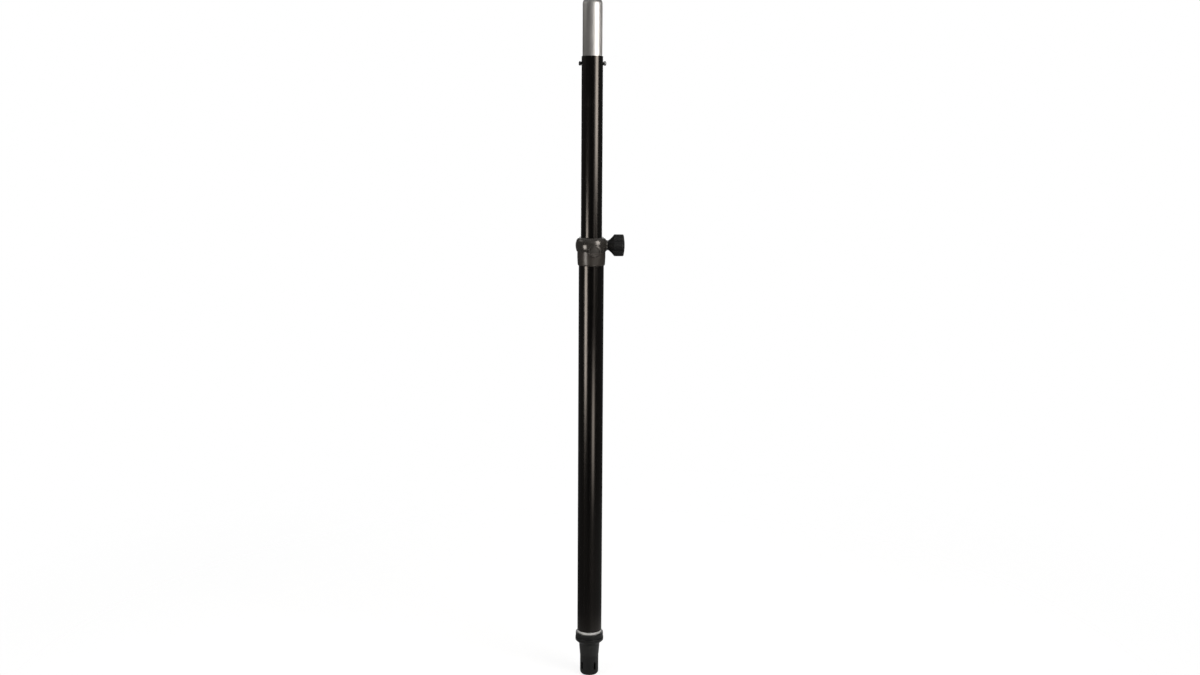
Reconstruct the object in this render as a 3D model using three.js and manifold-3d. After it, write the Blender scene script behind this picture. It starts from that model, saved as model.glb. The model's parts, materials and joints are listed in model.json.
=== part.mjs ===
// Telescoping speaker pole. A black outer tube stands on a slotted base plug, a moulded collar on its
// top clamps the inner tube with a palm knob, and the inner tube carries a bright spigot for 35 mm sockets.
// Millimetres, +Z up. The origin is the centre of the base plug's end face, the knob points to +X and
// the front of the pole faces -Y. The pole stands at the height that the photograph shows.

import * as THREE from "three";
import { mergeVertices } from "three/addons/utils/BufferGeometryUtils.js";
import Module from "manifold-3d";

const wasm = await Module();
wasm.setup();

// Shared values
const clearance = 0.3; // between neighbouring pieces
const cutOverrun = 1; // how far a cutting tool runs past the face it opens
const roundSides = 40; // facets round the tubes and the large turned pieces
const mediumSides = 32; // facets round the insert, the pad and the knob's cap
const smallSides = 16; // facets round screws, pins and studs
const arcSteps = 3; // steps along a quarter of a rounding, doubled by the curve classes
const quarterTurn = Math.PI / 2;
const circle = 360; // degrees
const knobSide = 90; // degrees from the front to the knob

// Bright spigot that enters the loudspeaker's 35 mm socket, with a cap in its end
const spigotRadius = 17.3;
const spigotWall = 2.2;
const spigotShown = 95.6;
const spigotHidden = 100;
const spigotEndRound = 3.4; // how far its end is spun inwards
const spigotEndRoundHeight = 7.4;
const spigotLip = 1.2; // flat lip round the cap
const spigotCapDepth = 12;
const spigotCapWall = 2.5;

// Inner tube, which the spigot fits in
const innerTubeWall = 1.4;
const innerTubeLength = 650;
const innerTubeShown = 315.6; // above the collar, at the height that the photograph shows

// Outer tube, which the inner tube runs in
const guideGap = 1.9; // between the two tubes, filled by the bush and the guide ring
const outerTubeWall = 1.6;
const outerTubeLength = 708.5;

// Bolt across the inner tube and the spigot, with a spacer under its head and under its nut
const crossBoltDrop = 12.2; // below the inner tube's rim
const crossBoltAngle = 90; // degrees from the front towards the knob
const crossBoltRadius = 2.5;
const boltHeadStep = 1.3; // how far the head stands out past the shank
const boltHeadHeight = 3.4;
const boltHeadRound = 0.9;
const boltSpacerWall = 0.6;
const boltSpacerLength = 0.8;
const boltEndInNut = 2.2;
const nutHeight = 2.4;
const nutSides = 6;
const nutShoulder = 0.9; // from the dome's foot to the hexagon's corners
const nutDomeWall = 0.9;
const nutDomeHeight = 1.7;

// End plug of the inner tube, its pin, and the guide ring that turns on it
const guideRingHeight = 12;
const guideRingRelief = 0.5;
const guideRingLand = 3;
const endPlugHeight = 30;
const endPlugWall = 4;
const endPlugFloor = 4;
const endPlugFlange = 3;
const endPlugChamfer = 1;
const plugPinRadius = 2;
const plugPinRise = 16;
const plugPinAngle = 90; // degrees from the front towards the knob

// Base plug, stacked upwards from its end face
const footEase = 0.15; // smaller than the spigot, to enter the same size of socket
const footEndRound = 5.25;
const footEndRoundHeight = 5.5;
const footStraightHeight = 36.8;
const footStep = 0.5; // where the straight foot meets its taper
const footStepHeight = 3.4;
const footTaperHeight = 20.6;
const footSwell = 1.65; // along the taper
const footWall = 4.75;
const footFloor = 6;
const footSlotCount = 4;
const footSlotAngle = 38; // degrees from the front towards the knob
const footSlotWidth = 4.6;
const footSlotBottom = 10.7;
const footSlotHeight = 15.2;
const flangeConeHeight = 6.5;
const flangeOverhang = 3.6; // past the outer tube
const flangeRound = 1.2;
const flangeBeadHeight = 5.5;
const flangeBandHeight = 9.5;
const flangeBandStep = 0.6;
const flangeGrooveDepth = 0.7;
const flangeGrooveHeight = 1.2;
const flangeTopChamfer = 0.8;
const insertHeight = 40;
const insertLeadIn = 1.5;
const insertWall = 4.6;

// Bright ring between the flange and the outer tube
const trimRingHeight = 4.5;

// Small screws, and the two that hold the base plug in the tube, on the back
const screwShankRadius = 2;
const screwHeadStep = 1.6;
const screwHeadHeight = 2;
const screwDriveRadius = 1.3;
const screwDriveDepth = 1;
const baseScrewRise = 18; // above the tube's lower end
const baseScrewAngles = [150, 210]; // degrees from the front towards the knob
const baseScrewBite = 3.4; // how deep the shank goes into the plug's wall

// Guide bush and wiper ring inside the collar
const lowerBushDepth = 29; // below the top of the outer tube
const bushFlange = 2;
const bushGap = 3; // the split that lets the sleeve close on the tube
const wiperHeight = 4.4;
const wiperDrop = 0.6; // below the collar's top

// Clamp screw, with the pad that it presses on the inner tube
const padThickness = 2.4;
const padTravel = 2.5;
const studRadius = 4;
const studTip = 0.8;
const studGrip = 18; // how far the stud goes into the knob
const insertSleeveWall = 1.9;
const insertSleeveLength = 2.9;
const insertFlange = 1.4;
const insertFlangeStep = 1.8;

// Collar
const tubeSeatDepth = 25; // how far it reaches down over the outer tube
const padLedge = 0.4; // between the pad's pocket and the pieces above and below it
const lipStep = 0.8; // from the outer tube to the lower lip
const lipRound = 4.2;
const skirtWall = 2.4;
const skirtTaper = 0.6;
const skirtTaperTop = 14;
const mouthLip = 0.7;
const bulgeRise = 1; // of the widest level above the clamp's axis
const bulgeLowerShare = 0.75; // of the lower ellipse's half height, above the skirt
const clampBossWall = 2.9;
const clampBossProud = 0.5;
const clampBossEdge = 1;
const collarScrewHeight = 14;
const collarScrewAngles = [145, 215]; // on the back

// Round boss on the collar's front, and the plain disc set in it
const discAngle = 14; // degrees from the front towards the knob
const discRise = 3; // above the top of the skirt
const discRadius = 9.2;
const discThickness = 1.4;
const discProud = 0.4;
const discDome = 0.4;
const discBossRim = 1.9;
const discBossSink = 0.1; // of the boss's face below the widest part of the collar
const discBossEdge = 0.8;

// Palm knob
const neckWall = 4;
const neckLength = 1;
const knobFlareLength = 10.6;
const knobFlareEase = 1.4;
const knobFlareSteps = 5;
const knobLobeRadius = 19.5;
const knobValleyRadius = 12.6;
const knobLobeCount = 4;
const knobLobeFullness = 0.8;
const knobRimLength = 17.1;
const knobRimRound = 1.6;
const knobDome = 1.5;
const knobSides = 48;
const knobFaceShares = [0.72, 0.45]; // of the way out to the rim, where the domed face is stepped
const knobCapRadius = 7.5;
const knobCapThickness = 1.6;
const knobCapProud = 0.5;

// Worked out from the sizes above: the tubes, outwards from the spigot
const spigotEndFlat = spigotRadius - spigotEndRound;
const spigotMouth = spigotEndFlat - spigotLip;
const innerTubeBore = spigotRadius + clearance;
const innerTubeRadius = innerTubeBore + innerTubeWall;
const tubeRunRadius = innerTubeRadius + clearance;
const outerTubeBore = innerTubeRadius + guideGap;
const outerTubeRadius = outerTubeBore + outerTubeWall;

// The base plug
const footRadius = spigotRadius - footEase;
const footTaperStart = footStraightHeight + footStepHeight;
const footTaperRadius = footRadius + footStep + footSwell;
const footTaperTop = footTaperStart + footTaperHeight;
const flangeRadius = outerTubeRadius + flangeOverhang;
const flangeBottom = footTaperTop + flangeConeHeight;
const flangeBeadTop = flangeBottom + flangeBeadHeight;
const flangeTop = flangeBeadTop + flangeBandHeight;
const insertRadius = outerTubeBore - clearance;
const screwHeadRadius = screwShankRadius + screwHeadStep;

// The clamp, outwards from the pole's axis
const padBack = tubeRunRadius + padThickness;
const insertSeat = padBack + padTravel + clearance;
const insertSleeveRadius = studRadius + clearance + insertSleeveWall;
const padRadius = insertSleeveRadius + insertFlangeStep;
const clampBossRadius = insertSleeveRadius + clearance + clampBossWall;
const clampBossReach = insertSeat + insertFlange + insertSleeveLength;
const neckRadius = studRadius + clearance + neckWall;
const neckFace = clampBossReach + clearance;
const knobFlareStart = neckFace + neckLength;
const knobRimStart = knobFlareStart + knobFlareLength;
const knobRimEnd = knobRimStart + knobRimLength;
const knobCapBack = knobRimEnd + knobDome - knobCapThickness;
const studEnd = neckFace + studGrip;

// The collar, upwards from its lower lip
const skirtHeight = tubeSeatDepth;
const skirtRadius = outerTubeRadius + clearance + skirtWall;
const clampHeight = tubeSeatDepth + bushFlange + clearance + padLedge + clearance + padRadius;
const wiperSeat = clampHeight + padRadius + clearance + padLedge;
const wiperBottom = wiperSeat + clearance;
const collarHeight = wiperBottom + wiperHeight + wiperDrop;
const bulgeRadius = clampBossReach - clampBossProud;
const bulgeMiddle = clampHeight + bulgeRise;
const mouthRadius = outerTubeBore + clearance + mouthLip;
const discHeight = skirtHeight + discRise;
const discBossRadius = discRadius + clearance + discBossRim;
const discBossReach = bulgeRadius - discBossSink;
const discBack = discBossReach + discProud - discThickness;

// Where the assemblies stand
const outerTubeBottom = flangeTop + trimRingHeight;
const outerTubeTop = outerTubeBottom + outerTubeLength;
const collarBottom = outerTubeTop - tubeSeatDepth;
const innerTubeTop = collarBottom + collarHeight + innerTubeShown;
const innerTubeBottom = innerTubeTop - innerTubeLength;

// The cross bolt, outwards from the pole's axis
const spacerSeat = innerTubeRadius + clearance;
const headSeat = spacerSeat + boltSpacerLength + clearance;
const boltHeadRadius = crossBoltRadius + boltHeadStep;
const boltSpacerRadius = crossBoltRadius + clearance + boltSpacerWall;
const nutDomeRadius = crossBoltRadius + clearance + nutDomeWall;
const nutRadius = nutDomeRadius + nutShoulder;

const finishes = {
  blackTube: finish(0x0d0d0e, 0.35, 0.5),
  bareMetal: finish(0xb9bab8, 0.3, 1),
  ringMetal: finish(0xcbcbc9, 0.45, 1),
  glossMoulding: finish(0x2b2b2a, 0.25, 0),
  mattMoulding: finish(0x1d1d1c, 0.6, 0),
  knobMoulding: finish(0x151515, 0.7, 0),
  nylon: finish(0xd8d5cc, 0.5, 0),
  brass: finish(0xb08d45, 0.35, 1),
  zincSteel: finish(0xa8a8a6, 0.35, 1),
  blackSteel: finish(0x1a1a1b, 0.45, 0.8),
};

function finish(color, roughness, metalness) {
  return new THREE.MeshStandardMaterial({ color, roughness, metalness });
}

function radians(degrees) {
  return THREE.MathUtils.degToRad(degrees);
}

// The turn about Z that brings +X to an angle counted from the front towards the knob.
function turnFromFront(degrees) {
  return radians(degrees) - quarterTurn;
}

function solidOf(geometry) {
  const bare = geometry.clone();
  bare.deleteAttribute("normal");
  bare.deleteAttribute("uv");
  const merged = mergeVertices(bare, clearance / 1000);
  return new wasm.Manifold(
    new wasm.Mesh({
      numProp: 3,
      vertProperties: new Float32Array(merged.attributes.position.array),
      triVerts: new Uint32Array(merged.index.array),
    }),
  );
}

function geometryOf(solid) {
  const mesh = solid.getMesh();
  const geometry = new THREE.BufferGeometry();
  geometry.setAttribute("position", new THREE.BufferAttribute(mesh.vertProperties, mesh.numProp));
  geometry.setIndex(new THREE.BufferAttribute(mesh.triVerts, 1));
  geometry.computeVertexNormals();
  return geometry;
}

function cut(geometry, ...tools) {
  return geometryOf(tools.reduce((solid, tool) => solid.subtract(solidOf(tool)), solidOf(geometry)));
}

function join(geometry, ...others) {
  return geometryOf(others.reduce((solid, other) => solid.add(solidOf(other)), solidOf(geometry)));
}

// A solid of revolution about Z. The outline is a list of Vector2(radius, height), either closed on
// itself or with both ends on the axis, and may run either way round.
function turned(outline, sides = roundSides) {
  const points = THREE.ShapeUtils.area(outline) > 0 ? outline : [...outline].reverse();
  return new THREE.LatheGeometry(points, sides).rotateX(quarterTurn);
}

function outlineOf(...corners) {
  return corners.map(([radius, height]) => new THREE.Vector2(radius, height));
}

function rod(radius, low, high, sides = smallSides) {
  return turned(outlineOf([0, low], [radius, low], [radius, high], [0, high]), sides);
}

function ring(inner, outer, low, high, sides = roundSides) {
  const corners = [[inner, low], [outer, low], [outer, high], [inner, high], [inner, low]];
  return turned(outlineOf(...corners), sides);
}

// Lays a piece made along Z on a spoke: its Z runs outwards, at an angle from the front.
function onSpoke(geometry, degrees, height) {
  return geometry
    .rotateY(quarterTurn)
    .rotateZ(turnFromFront(degrees))
    .translate(0, 0, height);
}

// A closed solid through rings of equally many points, with a flat fan on each end.
function lofted(rings) {
  const sides = rings[0].length;
  const centres = [rings[0], rings[rings.length - 1]].map((points) =>
    points.reduce((sum, p) => sum.add(p), new THREE.Vector3()).divideScalar(sides),
  );
  const first = rings.length * sides;
  const last = first + 1;
  const index = [];
  for (let i = 0; i < sides; i += 1) {
    const next = (i + 1) % sides;
    const top = (rings.length - 1) * sides;
    index.push(first, next, i, last, top + i, top + next);
    for (let k = 0; k + 1 < rings.length; k += 1) {
      const low = k * sides;
      const high = low + sides;
      index.push(low + i, low + next, high + next, low + i, high + next, high + i);
    }
  }
  const geometry = new THREE.BufferGeometry().setFromPoints([...rings.flat(), ...centres]);
  geometry.setIndex(index);
  geometry.computeVertexNormals();
  return geometry;
}

function piece(name, geometry, material) {
  const mesh = new THREE.Mesh(geometry, material);
  mesh.name = name;
  return mesh;
}

function groupAt(height, ...members) {
  const group = new THREE.Group();
  group.position.z = height;
  group.add(...members);
  return group;
}

// A piece made along Z, set on a spoke at a distance from the pole's axis.
function spoke(degrees, distance, member) {
  member.rotation.y = quarterTurn;
  member.position.x = distance;
  const group = new THREE.Group();
  group.rotation.z = turnFromFront(degrees);
  group.add(member);
  return group;
}

// Base plug

function footSlot(degrees) {
  const round = footSlotWidth / 2;
  const straight = footSlotHeight / 2 - round;
  const shape = new THREE.Shape();
  shape.absarc(straight, 0, round, -quarterTurn, quarterTurn);
  shape.absarc(-straight, 0, round, quarterTurn, 3 * quarterTurn);
  const depth = footWall + 2 * cutOverrun;
  const tool = new THREE.ExtrudeGeometry(shape, { depth, bevelEnabled: false, curveSegments: arcSteps });
  tool.translate(0, 0, footRadius - footWall - cutOverrun);
  return onSpoke(tool, degrees, footSlotBottom + footSlotHeight / 2);
}

function basePlugOutline() {
  const insertTop = flangeTop + insertHeight;
  const bandRadius = flangeRadius - flangeBandStep;
  const cavityRadius = footRadius - footWall;
  const insertCavity = insertRadius - insertWall;
  const endFlat = footRadius - footEndRound;
  const beadBottom = flangeBottom + flangeRound;
  const path = new THREE.Path();
  path.moveTo(0, 0);
  path.lineTo(endFlat, 0);
  path.absellipse(endFlat, footEndRoundHeight, footEndRound, footEndRoundHeight, -quarterTurn, 0);
  path.lineTo(footRadius, footStraightHeight);
  path.lineTo(footRadius + footStep, footTaperStart);
  path.lineTo(footTaperRadius, footTaperTop);
  path.lineTo(flangeRadius - flangeRound, flangeBottom);
  path.quadraticCurveTo(flangeRadius, beadBottom, flangeRadius, beadBottom + flangeRound);
  path.lineTo(flangeRadius, flangeBeadTop);
  path.lineTo(bandRadius - flangeGrooveDepth, flangeBeadTop + flangeBandStep);
  path.lineTo(bandRadius - flangeGrooveDepth, flangeBeadTop + flangeGrooveHeight);
  path.lineTo(bandRadius, flangeBeadTop + flangeGrooveHeight + flangeGrooveDepth);
  path.lineTo(bandRadius, flangeTop - flangeTopChamfer);
  path.lineTo(bandRadius - flangeTopChamfer, flangeTop);
  path.lineTo(insertRadius, flangeTop);
  path.lineTo(insertRadius, insertTop - insertLeadIn);
  path.lineTo(insertRadius - insertLeadIn / 2, insertTop);
  path.lineTo(insertCavity, insertTop);
  path.lineTo(insertCavity, flangeTop);
  path.lineTo(cavityRadius, footTaperTop);
  path.lineTo(cavityRadius, footFloor);
  path.lineTo(0, footFloor);
  return path.getPoints(arcSteps);
}

function basePlug() {
  const slots = Array.from({ length: footSlotCount }, (_, i) =>
    footSlot(footSlotAngle + (i * circle) / footSlotCount),
  );
  const holeFloor = insertRadius - baseScrewBite - clearance;
  const screwHoles = baseScrewAngles.map((angle) =>
    onSpoke(
      rod(screwShankRadius + clearance, holeFloor, insertRadius + cutOverrun),
      angle,
      outerTubeBottom + baseScrewRise,
    ),
  );
  return cut(turned(basePlugOutline()), ...slots, ...screwHoles);
}

// A screw along Z with its head's seat at zero, a domed head above and its shank below.
function panScrew(shankLength) {
  const path = new THREE.Path();
  path.moveTo(0, -shankLength);
  path.lineTo(screwShankRadius, -shankLength);
  path.lineTo(screwShankRadius, 0);
  path.lineTo(screwHeadRadius, 0);
  path.absellipse(0, 0, screwHeadRadius, screwHeadHeight, 0, quarterTurn);
  const driveFloor = screwHeadHeight - screwDriveDepth;
  const drive = rod(screwDriveRadius, driveFloor, screwHeadHeight + cutOverrun, nutSides);
  return cut(turned(path.getPoints(arcSteps), smallSides), drive);
}

// Outer tube

function outerTube() {
  const shaft = ring(outerTubeBore, outerTubeRadius, 0, outerTubeLength);
  const low = outerTubeBore - cutOverrun;
  const high = outerTubeRadius + cutOverrun;
  const collarScrewRise = outerTubeLength - tubeSeatDepth + collarScrewHeight;
  const baseHoles = baseScrewAngles.map((angle) =>
    onSpoke(rod(screwShankRadius + clearance, low, high), angle, baseScrewRise),
  );
  const collarHoles = collarScrewAngles.map((angle) =>
    onSpoke(rod(screwShankRadius + clearance, low, high), angle, collarScrewRise),
  );
  return cut(shaft, ...baseHoles, ...collarHoles);
}

// Collar, in its own frame with the lower lip at zero

function collarShell() {
  const skirtLowRadius = skirtRadius - skirtTaper;
  const swell = bulgeRadius - mouthRadius;
  const lowerReach = (bulgeMiddle - skirtHeight) / bulgeLowerShare;
  const lowerStart = -Math.asin(bulgeLowerShare);
  const path = new THREE.Path();
  path.moveTo(0, 0);
  path.lineTo(outerTubeRadius + lipStep, 0);
  path.quadraticCurveTo(skirtLowRadius, 0, skirtLowRadius, lipRound);
  path.lineTo(skirtRadius, skirtTaperTop);
  path.lineTo(skirtRadius, skirtHeight);
  path.absellipse(mouthRadius, bulgeMiddle, swell, lowerReach, lowerStart, 0);
  path.absellipse(mouthRadius, bulgeMiddle, swell, collarHeight - bulgeMiddle, 0, quarterTurn);
  path.lineTo(0, collarHeight);
  return turned(path.getPoints(arcSteps));
}

// A boss along Z with a chamfered edge, to be joined to the shell.
function roundBoss(radius, reach, edge) {
  const corners = [
    [0, 0],
    [radius, 0],
    [radius, reach - edge],
    [radius - edge, reach],
    [0, reach],
  ];
  return turned(outlineOf(...corners));
}

function collarBody() {
  const discBoss = roundBoss(discBossRadius, discBossReach, discBossEdge);
  const clampBoss = roundBoss(clampBossRadius, clampBossReach, clampBossEdge);
  const seatTop = tubeSeatDepth + bushFlange + clearance;
  const tubeSeat = rod(outerTubeRadius + clearance, -cutOverrun, seatTop, roundSides);
  const bore = rod(outerTubeBore, 0, collarHeight + cutOverrun, roundSides);
  const mouth = rod(outerTubeBore + clearance, wiperSeat, collarHeight + cutOverrun, roundSides);
  const discSeat = rod(discRadius + clearance, discBack - clearance, discBossReach + cutOverrun, roundSides);
  const padPocket = rod(padRadius + clearance, 0, insertSeat + insertFlange + clearance, mediumSides);
  const sleeveHole = rod(insertSleeveRadius + clearance, 0, clampBossReach + cutOverrun, mediumSides);
  const screwHoles = collarScrewAngles.map((angle) =>
    onSpoke(rod(screwShankRadius + clearance, 0, skirtRadius + cutOverrun), angle, collarScrewHeight),
  );
  return cut(
    join(
      collarShell(),
      onSpoke(discBoss, discAngle, discHeight),
      onSpoke(clampBoss, knobSide, clampHeight),
    ),
    tubeSeat,
    bore,
    mouth,
    onSpoke(discSeat, discAngle, discHeight),
    onSpoke(padPocket, knobSide, clampHeight),
    onSpoke(sleeveHole, knobSide, clampHeight),
    ...screwHoles,
  );
}

function collarDisc() {
  const path = new THREE.Path();
  path.moveTo(0, 0);
  path.lineTo(discRadius, 0);
  path.lineTo(discRadius, discThickness - discDome);
  path.quadraticCurveTo(discRadius / 2, discThickness, 0, discThickness);
  return turned(path.getPoints(arcSteps), roundSides);
}

// A split sleeve between the tubes, with a flange that rests on the outer tube's end.
function lowerBush() {
  const sleeve = ring(tubeRunRadius, insertRadius, -lowerBushDepth, bushFlange);
  const flange = ring(tubeRunRadius, outerTubeRadius, 0, bushFlange);
  const height = lowerBushDepth + bushFlange + 2 * cutOverrun;
  const split = new THREE.BoxGeometry(bushGap, outerTubeRadius + cutOverrun, height);
  split.translate(0, (outerTubeRadius + cutOverrun) / 2, height / 2 - lowerBushDepth - cutOverrun);
  return cut(join(sleeve, flange), split);
}

function wiperRing() {
  return ring(tubeRunRadius, outerTubeBore, 0, wiperHeight);
}

// Clamp screw, each piece along its own Z from the pole's axis outwards

// A shoe whose face is hollowed to the inner tube.
function pressurePad() {
  const shoe = rod(padRadius, 0, padBack, mediumSides);
  const tubeSpace = rod(tubeRunRadius, -2 * padRadius, 2 * padRadius, roundSides).rotateY(-quarterTurn);
  return cut(shoe, tubeSpace);
}

function threadedInsert() {
  const bore = studRadius + clearance;
  const flangeFace = insertSeat + insertFlange;
  const corners = [
    [bore, insertSeat],
    [padRadius, insertSeat],
    [padRadius, flangeFace],
    [insertSleeveRadius, flangeFace],
    [insertSleeveRadius, clampBossReach],
    [bore, clampBossReach],
    [bore, insertSeat],
  ];
  return turned(outlineOf(...corners), mediumSides);
}

function knobStud() {
  const tip = padBack + clearance;
  const corners = [
    [0, tip],
    [studRadius - studTip, tip],
    [studRadius, tip + studTip],
    [studRadius, studEnd],
    [0, studEnd],
  ];
  return turned(outlineOf(...corners), smallSides);
}

// One section across the knob: round at the neck, lobed further out.
function knobSection(reach, lobeRadius, valleyRadius) {
  return Array.from({ length: knobSides }, (_, i) => {
    const angle = radians((i / knobSides) * circle);
    const lobe = ((1 + Math.cos(knobLobeCount * angle)) / 2) ** knobLobeFullness;
    const radius = valleyRadius + (lobeRadius - valleyRadius) * lobe;
    return new THREE.Vector3(radius * Math.cos(angle), radius * Math.sin(angle), reach);
  });
}

function knobBody() {
  const rimRadius = knobLobeRadius - knobRimRound;
  const rimValley = knobValleyRadius - knobRimRound;
  const sections = [knobSection(neckFace, neckRadius, neckRadius)];
  for (let i = 0; i <= knobFlareSteps; i += 1) {
    const share = i / knobFlareSteps;
    const eased = share ** knobFlareEase;
    const lobe = neckRadius + (knobLobeRadius - neckRadius) * eased;
    const valley = neckRadius + (knobValleyRadius - neckRadius) * eased;
    sections.push(knobSection(knobFlareStart + knobFlareLength * share, lobe, valley));
  }
  sections.push(knobSection(knobRimEnd - knobRimRound, knobLobeRadius, knobValleyRadius));
  sections.push(knobSection(knobRimEnd, rimRadius, rimValley));
  for (const share of knobFaceShares) {
    const rise = knobDome * (1 - share ** 2);
    sections.push(knobSection(knobRimEnd + rise, rimRadius * share, rimValley * share));
  }
  const studHole = rod(studRadius + clearance, 0, studEnd + clearance);
  const faceEnd = knobRimEnd + knobDome + cutOverrun;
  const capSeat = rod(knobCapRadius + clearance, knobCapBack - clearance, faceEnd, mediumSides);
  return cut(lofted(sections), studHole, capSeat);
}

function knobCap() {
  const path = new THREE.Path();
  path.moveTo(0, 0);
  path.lineTo(knobCapRadius, 0);
  path.lineTo(knobCapRadius, knobCapThickness - knobCapProud);
  path.quadraticCurveTo(knobCapRadius / 2, knobCapThickness, 0, knobCapThickness);
  return turned(path.getPoints(arcSteps), mediumSides);
}

// Inner tube and what closes its lower end, in a frame with the tube's lower end at zero

function innerTube() {
  const reach = innerTubeRadius + cutOverrun;
  const boltRise = innerTubeLength - crossBoltDrop;
  const boltHole = onSpoke(rod(crossBoltRadius + clearance, -reach, reach), crossBoltAngle, boltRise);
  const pinHole = onSpoke(rod(plugPinRadius + clearance, -reach, reach), plugPinAngle, plugPinRise);
  return cut(ring(innerTubeBore, innerTubeRadius, 0, innerTubeLength), boltHole, pinHole);
}

function endPlug() {
  const flangeTopLevel = -guideRingHeight - 2 * clearance;
  const bottom = flangeTopLevel - endPlugFlange;
  const corners = [
    [0, bottom],
    [innerTubeRadius - endPlugChamfer, bottom],
    [innerTubeRadius, bottom + endPlugChamfer],
    [innerTubeRadius, flangeTopLevel],
    [spigotRadius, flangeTopLevel],
    [spigotRadius, endPlugHeight - endPlugChamfer],
    [spigotRadius - endPlugChamfer, endPlugHeight],
    [spigotRadius - endPlugWall, endPlugHeight],
    [spigotRadius - endPlugWall, bottom + endPlugFloor],
    [0, bottom + endPlugFloor],
  ];
  const reach = innerTubeRadius + cutOverrun;
  const pinHole = onSpoke(rod(plugPinRadius + clearance, -reach, reach), plugPinAngle, plugPinRise);
  return cut(turned(outlineOf(...corners)), pinHole);
}

// Two lands run in the outer tube, with a relieved waist between them.
function guideRing() {
  const top = -clearance;
  const bottom = top - guideRingHeight;
  const waist = insertRadius - guideRingRelief;
  const corners = [
    [innerTubeBore, bottom],
    [insertRadius, bottom],
    [insertRadius, bottom + guideRingLand],
    [waist, bottom + guideRingLand + guideRingRelief],
    [waist, top - guideRingLand - guideRingRelief],
    [insertRadius, top - guideRingLand],
    [insertRadius, top],
    [innerTubeBore, top],
    [innerTubeBore, bottom],
  ];
  return turned(outlineOf(...corners));
}

// Spigot, in a frame with the inner tube's rim at zero

// Its upper end is spun inwards round the cap.
function spigotTube() {
  const bore = spigotRadius - spigotWall;
  const roundStart = spigotShown - spigotEndRoundHeight;
  const boreRound = bore - spigotMouth;
  const boreRoundHeight = spigotEndRoundHeight - spigotWall;
  const path = new THREE.Path();
  path.moveTo(bore, -spigotHidden);
  path.lineTo(spigotRadius, -spigotHidden);
  path.lineTo(spigotRadius, roundStart);
  path.absellipse(spigotEndFlat, roundStart, spigotEndRound, spigotEndRoundHeight, 0, quarterTurn);
  path.lineTo(spigotMouth, spigotShown);
  path.lineTo(spigotMouth, spigotShown - spigotWall);
  path.absellipse(spigotMouth, roundStart, boreRound, boreRoundHeight, quarterTurn, 0, true);
  path.lineTo(bore, -spigotHidden);
  const reach = spigotRadius + cutOverrun;
  const boltHole = onSpoke(rod(crossBoltRadius + clearance, -reach, reach), crossBoltAngle, -crossBoltDrop);
  return cut(turned(path.getPoints(arcSteps)), boltHole);
}

function spigotCap() {
  const outer = spigotMouth - clearance;
  const inner = outer - spigotCapWall;
  const corners = [
    [0, spigotShown],
    [outer, spigotShown],
    [outer, spigotShown - spigotCapDepth],
    [inner, spigotShown - spigotCapDepth],
    [inner, spigotShown - spigotCapWall],
    [0, spigotShown - spigotCapWall],
  ];
  return turned(outlineOf(...corners));
}

// Cross bolt, along Z from head to nut with the pole's axis at zero

function crossBolt() {
  const face = -headSeat - boltHeadHeight;
  const nutEnd = headSeat + boltEndInNut;
  const path = new THREE.Path();
  path.moveTo(0, face);
  path.lineTo(boltHeadRadius - boltHeadRound, face);
  path.quadraticCurveTo(boltHeadRadius, face, boltHeadRadius, face + boltHeadRound);
  path.lineTo(boltHeadRadius, -headSeat);
  path.lineTo(crossBoltRadius, -headSeat);
  path.lineTo(crossBoltRadius, nutEnd);
  path.lineTo(0, nutEnd);
  return turned(path.getPoints(arcSteps), smallSides);
}

function boltSpacer() {
  return ring(crossBoltRadius + clearance, boltSpacerRadius, 0, boltSpacerLength, smallSides);
}

function domeNut() {
  const hexagon = rod(nutRadius, 0, nutHeight, nutSides);
  const dome = new THREE.Path();
  dome.moveTo(0, 0);
  dome.lineTo(nutDomeRadius, 0);
  dome.lineTo(nutDomeRadius, nutHeight);
  dome.absellipse(0, nutHeight, nutDomeRadius, nutDomeHeight, 0, quarterTurn);
  const boltHole = rod(crossBoltRadius + clearance, -cutOverrun, boltEndInNut + clearance);
  return cut(join(hexagon, turned(dome.getPoints(arcSteps), smallSides)), boltHole);
}

// The pole, assembled

function baseScrews() {
  const shank = outerTubeWall + 2 * clearance + baseScrewBite;
  return baseScrewAngles.map((angle, i) =>
    spoke(
      angle,
      outerTubeRadius + clearance,
      piece(`base_screw_${i + 1}`, panScrew(shank), finishes.blackSteel),
    ),
  );
}

function collarScrews() {
  const seat = skirtRadius + clearance;
  return collarScrewAngles.map((angle, i) =>
    spoke(
      angle,
      seat,
      piece(`collar_screw_${i + 1}`, panScrew(seat - outerTubeBore - clearance), finishes.blackSteel),
    ),
  );
}

function outerMast() {
  const disc = piece("collar_disc", collarDisc(), finishes.glossMoulding);
  const brightRing = ring(outerTubeBore, outerTubeRadius, 0, trimRingHeight);
  const collar = groupAt(
    collarBottom,
    piece("collar_body", collarBody(), finishes.glossMoulding),
    groupAt(discHeight, spoke(discAngle, discBack, disc)),
    groupAt(tubeSeatDepth, piece("lower_guide_bush", lowerBush(), finishes.nylon)),
    groupAt(wiperBottom, piece("wiper_ring", wiperRing(), finishes.nylon)),
    groupAt(clampHeight, spoke(knobSide, 0, piece("threaded_insert", threadedInsert(), finishes.brass))),
    groupAt(collarScrewHeight, ...collarScrews()),
  );
  return groupAt(
    0,
    piece("base_plug", basePlug(), finishes.mattMoulding),
    groupAt(flangeTop, piece("trim_ring", brightRing, finishes.ringMetal)),
    groupAt(outerTubeBottom, piece("outer_tube", outerTube(), finishes.blackTube)),
    groupAt(outerTubeBottom + baseScrewRise, ...baseScrews()),
    collar,
  );
}

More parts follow.
